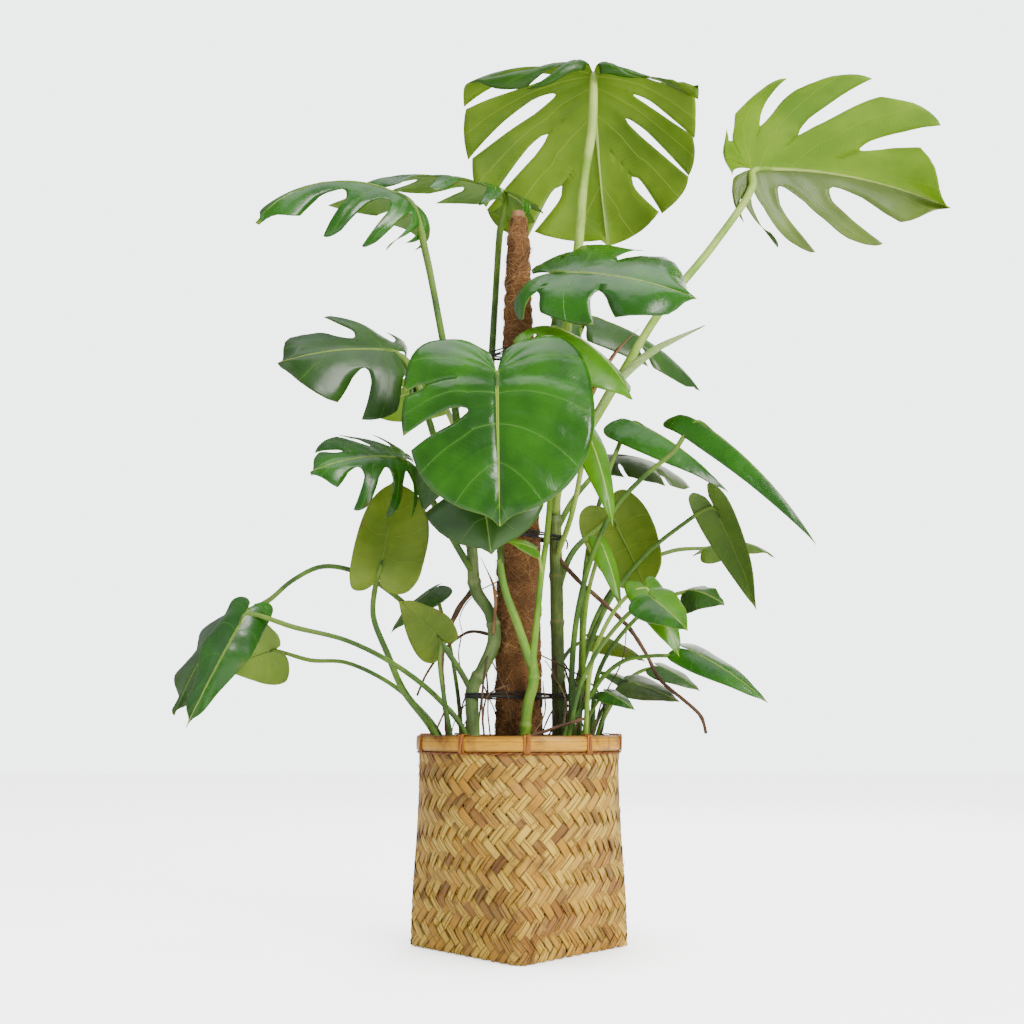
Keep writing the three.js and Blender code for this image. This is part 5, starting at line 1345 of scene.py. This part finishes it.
# Basket: a square foot turned corner to front that rises into a round rim
basket = {
    "topRadius": 145.5,
    "footHalfSide": 113.8,
    "footSquareness": 16,
    "footEdge": 4,
    "roundFrom": 20,
    "roundAt": 235,
    "strips": 50,
    "crossing": 10.05,
    "stripWidth": 12.7,
    "stripThickness": 0.6,
    "sway": 1.25,
    "depth": 1.4,
    "alongStep": 2.4,
    "widthSpread": [0.9, 1.07],
    "drift": 0.0014,
    "slivers": [0, 1, 1, 2, 3],
    "sliverWidth": [1.1, 2.6],
    "sliverRise": [0.6, 2.6],
    "sliverThickness": 0.4,
    "weaveFrom": 1.0,
    "weaveTo": 284.0,
}
# the very dark rim tint of the strips paints shadow along their edges and in the gaps of the weave
stripPaint = caneMaterial("bamboo strips", (200, 144, 30), (240, 196, 70), (108, 62, 12), (54, 30, 6),
                          (158, 104, 24), rimWidth=0.3, variety=1.0, gloss=0.3, fibres=1.9, wear=0.75,
                          splits=0.75, bump=1.0)
hoopPaint = caneMaterial("rim cane", (220, 156, 8), (246, 196, 36), (120, 64, 10), (84, 38, 6),
                         (190, 120, 22), rimWidth=0.45, variety=0.7, gloss=0.2, fibres=0.8, wear=1.0,
                         splits=0.35, bump=0.8)
bindPaint = caneMaterial("binding cane", (170, 96, 20), (204, 136, 44), (98, 48, 10), (70, 34, 8),
                         (172, 92, 22), rimWidth=0.25, variety=0.6, gloss=0.3, fibres=0.6, wear=0.3,
                         bump=0.5)
angles = np.linspace(0, 2 * math.pi, 1441) - math.pi / 2


def smoothRise(z):
    t = min(1.0, max(0.0, (z - basket["roundFrom"]) / (basket["roundAt"] - basket["roundFrom"])))
    return t * t * (3 - 2 * t)


def outlineAt(z):  # the outline at a height, and how far along it each of its points lies, from 0 to 1
    turned = angles - math.pi / 4
    n = basket["footSquareness"]
    square = basket["footHalfSide"] / (np.abs(np.cos(turned)) ** n + np.abs(np.sin(turned)) ** n) ** (1 / n)
    radius = square + (basket["topRadius"] - square) * smoothRise(z)
    radius = radius - max(0, basket["footEdge"] - z) ** 2 / basket["footEdge"]
    ring = np.stack([radius * np.cos(angles), radius * np.sin(angles)], axis=1)
    share = lengthsAlong(ring)
    return ring, share / share[-1], share[-1]


outlineStep = 0.5
outlineRows = [outlineAt(z * outlineStep) for z in range(int(300 / outlineStep))]


def wallSpot(share, z, inside):  # a place on the wall, a way inside its outer face
    ring, shares, _ = outlineRows[min(len(outlineRows) - 1, max(0, int(round(z / outlineStep))))]
    share = share % 1.0
    x, y = np.interp(share, shares, ring[:, 0]), np.interp(share, shares, ring[:, 1])
    after, before = (share + 0.002) % 1, (share - 0.002) % 1
    ahead = np.array([np.interp(after, shares, line) - np.interp(before, shares, line) for line in ring.T])
    ahead = ahead / max(np.linalg.norm(ahead), 1e-9)
    out = np.array([ahead[1], -ahead[0]])
    return np.array([x - out[0] * inside, y - out[1] * inside, z]), np.array([out[0], out[1], 0])


def stripInto(shape, rows, widths, lifts, thickness, seed, columns=4):
    # a strip along rows of (middle, across, out); across has unit length and out points off the wall
    points = []
    run = lengthsAlong(np.array([r[0] for r in rows]))
    for layer in (0, 1):
        for i, (middle, across, out) in enumerate(rows):
            for c in range(columns + 1):
                t = 2 * c / columns - 1
                bulge = 0.35 * (1 - t * t)
                spot = middle + across * t * widths[i] / 2 + out * (lifts[i] + bulge - layer * thickness)
                spot[2] = max(spot[2], 0.4)  # the ends are cut off at the foot
                points.append(spot)

    def value(i, c, layer):
        return (2 * c / columns - 1, run[i], layer, seed, math.floor(run[i] / 56 + seed * 7) * 0.13, 0)
    faces, values = sheetFaces(len(rows), columns, value)
    shape.add(points, faces, 0, values)


def overUnder(m, way):  # lies above its neighbour for two crossings, then below it
    return way * math.tanh(2.2 * math.sin(math.pi / 2 * (m + 0.5)))


def makeWeave():
    count, gap = basket["strips"], basket["crossing"]
    lean = 1 / count / (2 * gap)
    for way, title in ((1, "weaveRising"), (-1, "weaveFalling")):
        shape = Shape()
        for i in range(count):
            draw = random.Random(i * 2 + way)
            seed = draw.random()
            width = basket["stripWidth"] * draw.uniform(*basket["widthSpread"])
            drift = draw.uniform(-basket["drift"], basket["drift"])

            def rowsAt(zs):
                middles, outs, lifts = [], [], []
                for z in zs:
                    share = i / count + way * lean * z + drift + 0.001 * wobble((z, i * 9, way), 45, 1)
                    middle, out = wallSpot(share, z, basket["depth"])
                    middles.append(middle)
                    outs.append(out)
                    height = basket["sway"] * overUnder(z / gap, way)
                    lifts.append(height + 0.26 * wobble((z, i * 13, way * 5), 20, 2))
                rows = []
                for p, a, out in zip(middles, unitRows(np.gradient(np.array(middles), axis=0)), outs):
                    across = unit(np.cross(a, out))
                    rows.append((p, across, unit(np.cross(across, a))))
                return rows, lifts
            zs = np.arange(basket["weaveFrom"], basket["weaveTo"], basket["alongStep"])
            rows, lifts = rowsAt(zs)
            widths = [width * (1 + 0.07 * wobble((z, i * 5, way), 30, 3)) for z in zs]
            stripInto(shape, rows, widths, lifts, basket["stripThickness"], seed)
            for _ in range(draw.choice(basket["slivers"])):  # they lift off where the strip lies on top
                middle = gap * (4 * draw.randint(0, 6) + (0.5 if way == 1 else 2.5))
                turned = draw.choice((-1, 1))
                steps = np.linspace(-0.85, draw.uniform(0.6, 0.95), 9)
                rows, lifts = rowsAt([middle + gap * turned * s for s in steps])
                aside = draw.uniform(-0.42, 0.42) * width
                veer = draw.uniform(-1.6, 1.6)
                share = np.linspace(0, 1, 9)
                rows = [(p + side * (aside + veer * t * t), side, up)
                        for t, (p, side, up) in zip(share, rows)]
                rise = draw.uniform(*basket["sliverRise"])
                lifts = [h + 0.45 + rise * t ** 2 for t, h in zip(share, lifts)]
                broad = draw.uniform(*basket["sliverWidth"])
                stripInto(shape, rows, [broad * (1 - 0.6 * t) for t in share], lifts,
                          basket["sliverThickness"], draw.random(), 2)
        shape.piece(title, [stripPaint], "basket_body", "bamboo", crease=50)


base = {"inset": 0.985, "pitch": 13.5, "height": 2.2, "sway": 0.7, "stripWidth": 12.8, "shortest": 20}


def makeBase():  # the woven bottom, its strips running on from the walls
    shape = Shape()
    ring = outlineRows[0][0] * base["inset"]
    for way in (0, 1):
        side = np.array([0, -1.0, 0]) if way == 0 else np.array([1.0, 0, 0])
        for i in range(-12, 13):
            level = i * base["pitch"]
            inside = [p[way] for p in ring if abs(p[1 - way] - level) < 1.2]
            if len(inside) < 2 or max(inside) - min(inside) < base["shortest"]:
                continue
            low, high = min(inside), max(inside)
            rows, lifts = [], []
            for s in np.linspace(low, high, max(6, int((high - low) / 4.5)) + 1):
                p = np.array([s, level, base["height"]] if way == 0 else [level, s, base["height"]])
                rows.append((p, side, np.array([0, 0, 1.0])))
                m = s / base["pitch"] + (i if way == 0 else -i) + 0.25
                lifts.append(base["sway"] * overUnder(m if way == 0 else -m, 1 if way == 0 else -1))
            stripInto(shape, rows, [base["stripWidth"]] * len(rows), lifts, basket["stripThickness"],
                      random.Random(i * 3 + way).random(), 2)
    shape.piece("basketBase", [stripPaint], "basket_body", "bamboo", crease=50)


rim = {
    "top": 295.0,
    "height": 22.0,
    "hoop": 4.2,
    "gap": 0.3,
    "wall": 4,
    "segments": 240,
    "joints": [15, 128, 236, 318],
    "bindings": 10,
    "firstBinding": -49.9,
    "bindingCorner": 2.2,
    "strandRadius": 0.95,
    "strandTwist": 0.75,
}


def jointSwell(degrees, seed, wide):  # how near a turn lies to a joint of the hoop
    return sum(math.exp(-(((degrees - j - seed * 31 + 180) % 360 - 180) / wide) ** 2) for j in rim["joints"])


def hoopInto(shape, inner, outward, seed):  # split bamboo bent round, its skin on the outside
    low, high = rim["top"] - rim["height"], rim["top"]
    segments = rim["segments"]
    near, far = (inner, inner + rim["hoop"]) if outward else (inner + rim["hoop"], inner)
    section = [(-1, 0.1), (-0.96, 0.55), (-0.82, 0.86), (-0.45, 0.98), (0, 1.02), (0.45, 0.98), (0.82, 0.86),
               (0.96, 0.55), (1, 0.1), (0.9, 0.0), (0, 0.0), (-0.9, 0.0)]  # the skin, then the flat back
    points, faces, values = [], [], []
    run = 2 * math.pi * inner
    for i in range(segments):
        turn = 2 * math.pi * i / segments
        swell = jointSwell(math.degrees(turn) % 360, seed, 1.1)
        for t, h in section:
            r = near + (far - near) * min(h * (1 + 0.06 * swell), 1.05)
            z = (low + high) / 2 + t * rim["height"] / 2 * (1 - 0.015 * wobble((turn * 40, 0, seed), 9, seed))
            r += 0.25 * wobble((turn * 60, z, seed), 20, seed)
            points.append((r * math.cos(turn), r * math.sin(turn), z))
    many = len(section)

    def value(i, k):
        joint = min(0.7, 0.7 * jointSwell(360 * i / segments, seed, 0.8))
        return (section[k % many][0], run * i / segments, 0, seed, 0.1, joint)
    for i in range(segments):
        for k in range(many):
            n = (k + 1) % many
            ring = [(i, k), (i + 1, k), (i + 1, n), (i, n)]
            if not outward:
                ring = [ring[0], *ring[:0:-1]]
            faces.append([a % segments * many + b for a, b in ring])
            values.append([value(a, b) for a, b in ring])
    shape.add(points, faces, 0, values)


def makeRim():
    outer, inner, binding = Shape(), Shape(), Shape()
    edge, gap, wall = basket["topRadius"], rim["gap"], rim["wall"]
    hoopInto(outer, edge + gap, True, 0.3)
    outer.piece("outerHoop", [hoopPaint], "basket_rim_outer", "rim_cane", crease=60)
    hoopInto(inner, edge - wall - gap - rim["hoop"], False, 0.7)
    inner.piece("innerHoop", [hoopPaint], "basket_rim_inner", "rim_cane", crease=60)
    outside = edge + gap + rim["hoop"] + 1.0
    inside = edge - wall - 2 * gap - rim["hoop"] - 0.7
    low, high = rim["top"] - rim["height"] - 0.9, rim["top"] + 0.9
    for b in range(rim["bindings"]):
        turn = math.radians(rim["firstBinding"] + b * 360 / rim["bindings"])
        draw = random.Random(b + 40)
        out = np.array([math.cos(turn), math.sin(turn), 0])
        side = np.array([-out[1], out[0], 0])
        for n in range(4):
            shift = (-3.1, 0.1, 3.2, 0)[n] + draw.uniform(-0.5, 0.5)
            cross = draw.uniform(3.5, 5.5) if n == 3 else draw.uniform(-0.9, 0.9)
            raised = 0.9 if n == 3 else 0
            corner = rim["bindingCorner"]
            ring = []
            left, right, foot, head = inside + corner, outside - corner, low + corner, high - corner
            for cx, cz, start in ((right, head, 0), (left, head, 90), (left, foot, 180), (right, foot, 270)):
                for a in range(0, 91, 22):
                    t = math.radians(start + a)
                    ring.append((cx + (corner + raised) * math.cos(t), cz + (corner + raised) * math.sin(t)))
                straight = high - low - 2 * corner
                if start == 270:
                    ring += [(outside + raised, low + corner + straight * s) for s in (0.2, 0.4, 0.6, 0.8)]
                if start == 90:
                    ring += [(inside - raised, high - corner - straight * s) for s in (0.25, 0.5, 0.75)]
            path = []
            for r, z in ring:
                lean = (z - low) / (high - low) - 0.5
                aside = shift + cross * lean * (1 if r > 143 else -1)
                path.append(out * r + side * aside + np.array([0, 0, z]))
            flatRingInto(binding, np.array(path), 1.55, 0.55, side, draw.random())
    tall = rim["top"] - rim["height"] - 2.0
    for ply in (0, 1):
        path = []
        for i in range(960):
            t = 2 * math.pi * i / 960
            twist = t * 60 + ply * math.pi
            r = edge + 1.8 + rim["strandTwist"] * math.cos(twist) + 0.2 * wobble((t * 30, 0, 0), 7, 4)
            path.append((r * math.cos(t), r * math.sin(t), tall + rim["strandTwist"] * math.sin(twist)))
        ringInto(binding, path, rim["strandRadius"], 6, seed=0.3 + ply)
    binding.piece("rimBinding", [bindPaint], "rim_lashing", "rim_cane")


def flatRingInto(shape, path, wide, thick, across, seed):  # a closed loop of flat cane, across fixed
    count = len(path)
    ahead = unitRows(np.roll(path, -1, axis=0) - np.roll(path, 1, axis=0))
    section = [(-1, 0), (-0.75, 0.8), (0, 1.1), (0.75, 0.8), (1, 0), (0, -0.7)]
    many = len(section)
    points, faces, values = [], [], []
    run = np.concatenate([lengthsAlong(path), [0]])
    for i in range(count):
        side = unit(across - ahead[i] * across.dot(ahead[i]))
        up = np.cross(ahead[i], side)
        points += [path[i] + side * a * wide - up * b * thick for a, b in section]
    for i in range(count):
        for k in range(many):
            n, j = (k + 1) % many, (i + 1) % count
            faces.append((i * many + k, j * many + k, j * many + n, i * many + n))
            spots = [(k, 0), (k, 3), (n, 3), (n, 0)]
            values.append([(section[a][0], run[i] + past, 0, seed, 0.1, 0) for a, past in spots])
    shape.add(points, faces, 0, values)


# Nursery pot and soil
pot = {"footRadius": 96, "topRadius": 126, "lipRadius": 131, "top": 268, "lip": 9, "wall": 2.2, "low": 5.3}
soil = {"edge": 254, "crown": 261, "foot": 236.0, "rings": 46, "sides": 140, "chips": 620}
potPaint = looseMaterial("pot plastic", (26, 26, 27), (40, 40, 41), (16, 16, 16), fineness=500, gloss=0.42,
                         lumps=0.1, bump=0.3)
soilPaints = [
    looseMaterial("soil crumbs", (52, 35, 24), (78, 54, 36), (22, 15, 11), fineness=380, gloss=0.9,
                  lumps=1.4, bump=2.5),
    looseMaterial("bark chips", (92, 58, 36), (136, 96, 64), (46, 29, 20), fineness=500, gloss=0.85,
                  lumps=0.8, bump=1.0),
]


def lathe(shape, profile, segments):
    points, faces = [], []
    many = len(profile)
    for i in range(segments):
        turn = 2 * math.pi * i / segments
        for r, z in profile:
            points.append((r * math.cos(turn), r * math.sin(turn), z))
    for i in range(segments):
        j = (i + 1) % segments
        for k in range(many - 1):
            a, b, c, d = i * many + k, j * many + k, j * many + k + 1, i * many + k + 1
            if profile[k][0] < 0.01:
                faces.append((a, c, d))
            elif profile[k + 1][0] < 0.01:
                faces.append((a, b, d))
            else:
                faces.append((a, b, c, d))
    shape.add(points, faces)


def makePot():
    shape = Shape()
    low, wall = pot["low"], pot["wall"]
    top, lip = pot["top"], pot["lip"]
    foot, upper, brim = pot["footRadius"], pot["topRadius"], pot["lipRadius"]
    profile = [(0, low + 3), (foot - 16, low + 3), (foot - 12, low), (foot - 2, low), (foot, low + 2)]
    for z in (60, 62, 64, 120, 122, 124, 180, 182, 184):
        bulge = 0.8 if z % 60 == 2 else 0
        profile.append((foot + (upper - foot) * (z - low) / (top - lip - low) + bulge, z))
    profile += [(upper, top - lip), (brim - 1, top - lip), (brim, top - lip + 1), (brim, top - 1.2),
                (brim - 1.2, top), (upper - wall + 1, top), (upper - wall, top - 1),
                (foot - wall, low + wall + 3), (0, low + wall + 3)]
    lathe(shape, profile, 96)
    shape.piece("nurseryPot", [potPaint], "nursery_pot", "pot_plastic", crease=35)


def makeSoil():
    shape = Shape()
    draw = random.Random(5)
    flare = pot["topRadius"] - pot["footRadius"]
    edge = pot["footRadius"] + flare * (soil["edge"] - 7.5) / 260 - pot["wall"] - 0.8

    def ground(x, y):
        r = math.hypot(x, y) / edge
        z = soil["crown"] - (soil["crown"] - soil["edge"]) * min(1, r) ** 2
        at = (x, y, 0)
        return z + 2.0 * wobble(at, 15, 3) + 1.1 * wobble(at, 5, 6) + 0.6 * wobble(at, 2.6, 8) - 1.0
    rings, sides = soil["rings"], soil["sides"]
    points = [(0, 0, ground(0, 0))]
    faces = []
    for i in range(1, rings + 1):
        for k in range(sides):
            turn = 2 * math.pi * (k + 0.5 * (i % 2)) / sides
            x, y = edge * i / rings * math.cos(turn), edge * i / rings * math.sin(turn)
            points.append((x, y, ground(x, y)))
    for k in range(sides):
        faces.append((0, 1 + k, 1 + (k + 1) % sides))
    for i in range(rings - 1):
        a, b = 1 + i * sides, 1 + (i + 1) * sides
        for k in range(sides):
            n = (k + 1) % sides
            faces.append((a + k, b + k, b + n, a + n))
    start = len(points)
    edgeStart = 1 + (rings - 1) * sides
    for k in range(sides):
        x, y, z = points[edgeStart + k]
        points.append((x * 0.985, y * 0.985, soil["foot"]))
    points.append((0, 0, soil["foot"]))
    for k in range(sides):
        n = (k + 1) % sides
        faces += [(edgeStart + k, start + k, start + n, edgeStart + n),
                  (start + n, start + k, len(points) - 1)]
    shape.add(points, faces, 0)
    cube = [(x, y, z) for z in (-1, 1) for x, y in ((-1, -1), (1, -1), (1, 1), (-1, 1))]
    sheet = [(3, 2, 1, 0), (4, 5, 6, 7), (0, 1, 5, 4), (1, 2, 6, 5), (2, 3, 7, 6), (3, 0, 4, 7)]
    for _ in range(soil["chips"]):
        r, turn = edge * 0.96 * math.sqrt(draw.random()), draw.uniform(0, 2 * math.pi)
        x, y = r * math.cos(turn), r * math.sin(turn)
        size = np.array([draw.uniform(2.0, 7.0), draw.uniform(1.4, 4.0), draw.uniform(0.7, 1.8)])
        spin = Matrix.Rotation(draw.uniform(0, 6.28), 3, "Z")
        spin = spin @ Matrix.Rotation(draw.uniform(-0.5, 0.5), 3, "X")
        spin = np.array(spin @ Matrix.Rotation(draw.uniform(-0.4, 0.4), 3, "Y"))
        several = []
        for corner in cube:
            worn = np.array([draw.uniform(0.6, 1), draw.uniform(0.6, 1), draw.uniform(0.7, 1)])
            p = np.array(corner) * size * worn
            several.append(spin @ p + np.array([x, y, ground(x, y) + size[2] * 0.5]))
        mark = draw.random() * 40
        shape.add(several, sheet, 1, [[(0, 0, 0, 0, 0, mark)] * 4] * 6)
    shape.piece("pottingSoil", soilPaints, "soil", "soil", crease=50)


makeWeave()
makeBase()
makeRim()
makePot()
makeSoil()
print("basket, pot and soil are made")


# Floor, camera and light
def makeFloor():
    mesh = bpy.data.meshes.new("floor")
    wide = studio["floor"]
    square = [(-wide, -wide, 0), (wide, -wide, 0), (wide, wide, 0), (-wide, wide, 0)]
    mesh.from_pydata(square, [], [(0, 1, 2, 3)])
    floor = bpy.data.objects.new("floor", mesh)
    scene.collection.objects.link(floor)
    material = bpy.data.materials.new("studio floor")
    material.use_nodes = True
    tree = material.node_tree
    surface = tree.nodes["Principled BSDF"]
    surface.inputs["Base Color"].default_value = tone(250, 250, 250)
    surface.inputs["Roughness"].default_value = 0.7
    surface.inputs["Specular IOR Level"].default_value = 0.2
    surface.inputs["Emission Color"].default_value = (1, 1, 1, 1)
    seen = put(tree, "LightPath").outputs["Is Camera Ray"]
    glow = timesPlus(tree, seen, studio["backdrop"] - 0.8 - studio["floorGlow"], studio["floorGlow"])
    near = put(tree, "AmbientOcclusion", {"Distance": studio["contact"]}, samples=8).outputs["AO"]
    paintedContactShadow = ramp(tree, near, 0.25, 1.0, studio["paintedShadowDark"], 1.0)  # painted contact shadow: the floor glow is darker right under the basket
    tree.links.new(times(tree, glow, paintedContactShadow), surface.inputs["Emission Strength"])
    mesh.materials.append(material)


camera = {"at": (-0.010, -1.798, 0.311), "tilt": 9.98, "lens": 42.33}
# contact and the dark share set the painted contact shadow on the floor glow
studio = {"floor": 6.0, "glow": 0.45, "backdrop": 4.2, "floorGlow": 0.2, "contact": 0.2, "paintedShadowDark": 0.3}
lamps = {
    "key": {"at": (2.1, -2.2, 2.1), "to": (0, 0, 0.6), "size": 1.4, "power": 140, "tint": (1.0, 0.97, 0.93)},
    "fill": {"at": (-2.6, -1.4, 1.5), "to": (0, 0, 0.6), "size": 2.4, "power": 15, "tint": (0.93, 0.97, 1.0)},
    "top": {"at": (0.1, -0.3, 3.2), "to": (0, 0, 0.7), "size": 2.4, "power": 54, "tint": (0.97, 0.99, 1.0)},
    "back": {"at": (0.9, 2.3, 2.2), "to": (0, 0, 0.8), "size": 1.8, "power": 45, "tint": (1.0, 0.98, 0.93)},
}


def makeStage():
    eye = bpy.data.objects.new("eye", bpy.data.cameras.new("eye"))
    eye.data.lens = camera["lens"]
    eye.data.sensor_width = 36
    eye.location = camera["at"]
    eye.rotation_euler = (math.radians(90 + camera["tilt"]), 0, 0)
    scene.collection.objects.link(eye)
    scene.camera = eye
    for name, lamp in lamps.items():
        data = bpy.data.lights.new(name, "AREA")
        data.shape, data.size = "SQUARE", lamp["size"]
        data.energy, data.color = lamp["power"], lamp["tint"]
        light = bpy.data.objects.new(name, data)
        light.location = lamp["at"]
        way = Vector(lamp["to"]) - Vector(lamp["at"])
        light.rotation_euler = way.to_track_quat("-Z", "Y").to_euler()
        scene.collection.objects.link(light)
    world = bpy.data.worlds.new("studio")
    world.use_nodes = True
    tree = world.node_tree
    sky = tree.nodes["Background"]
    sky.inputs[0].default_value = (0.95, 0.98, 1.0, 1)
    seen = put(tree, "LightPath").outputs["Is Camera Ray"]
    tree.links.new(timesPlus(tree, seen, studio["backdrop"] - studio["glow"], studio["glow"]), sky.inputs[1])
    scene.world = world


makeFloor()
makeStage()
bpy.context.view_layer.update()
view = scene.view_settings
print("stage is set", view.view_transform, view.look, view.exposure)
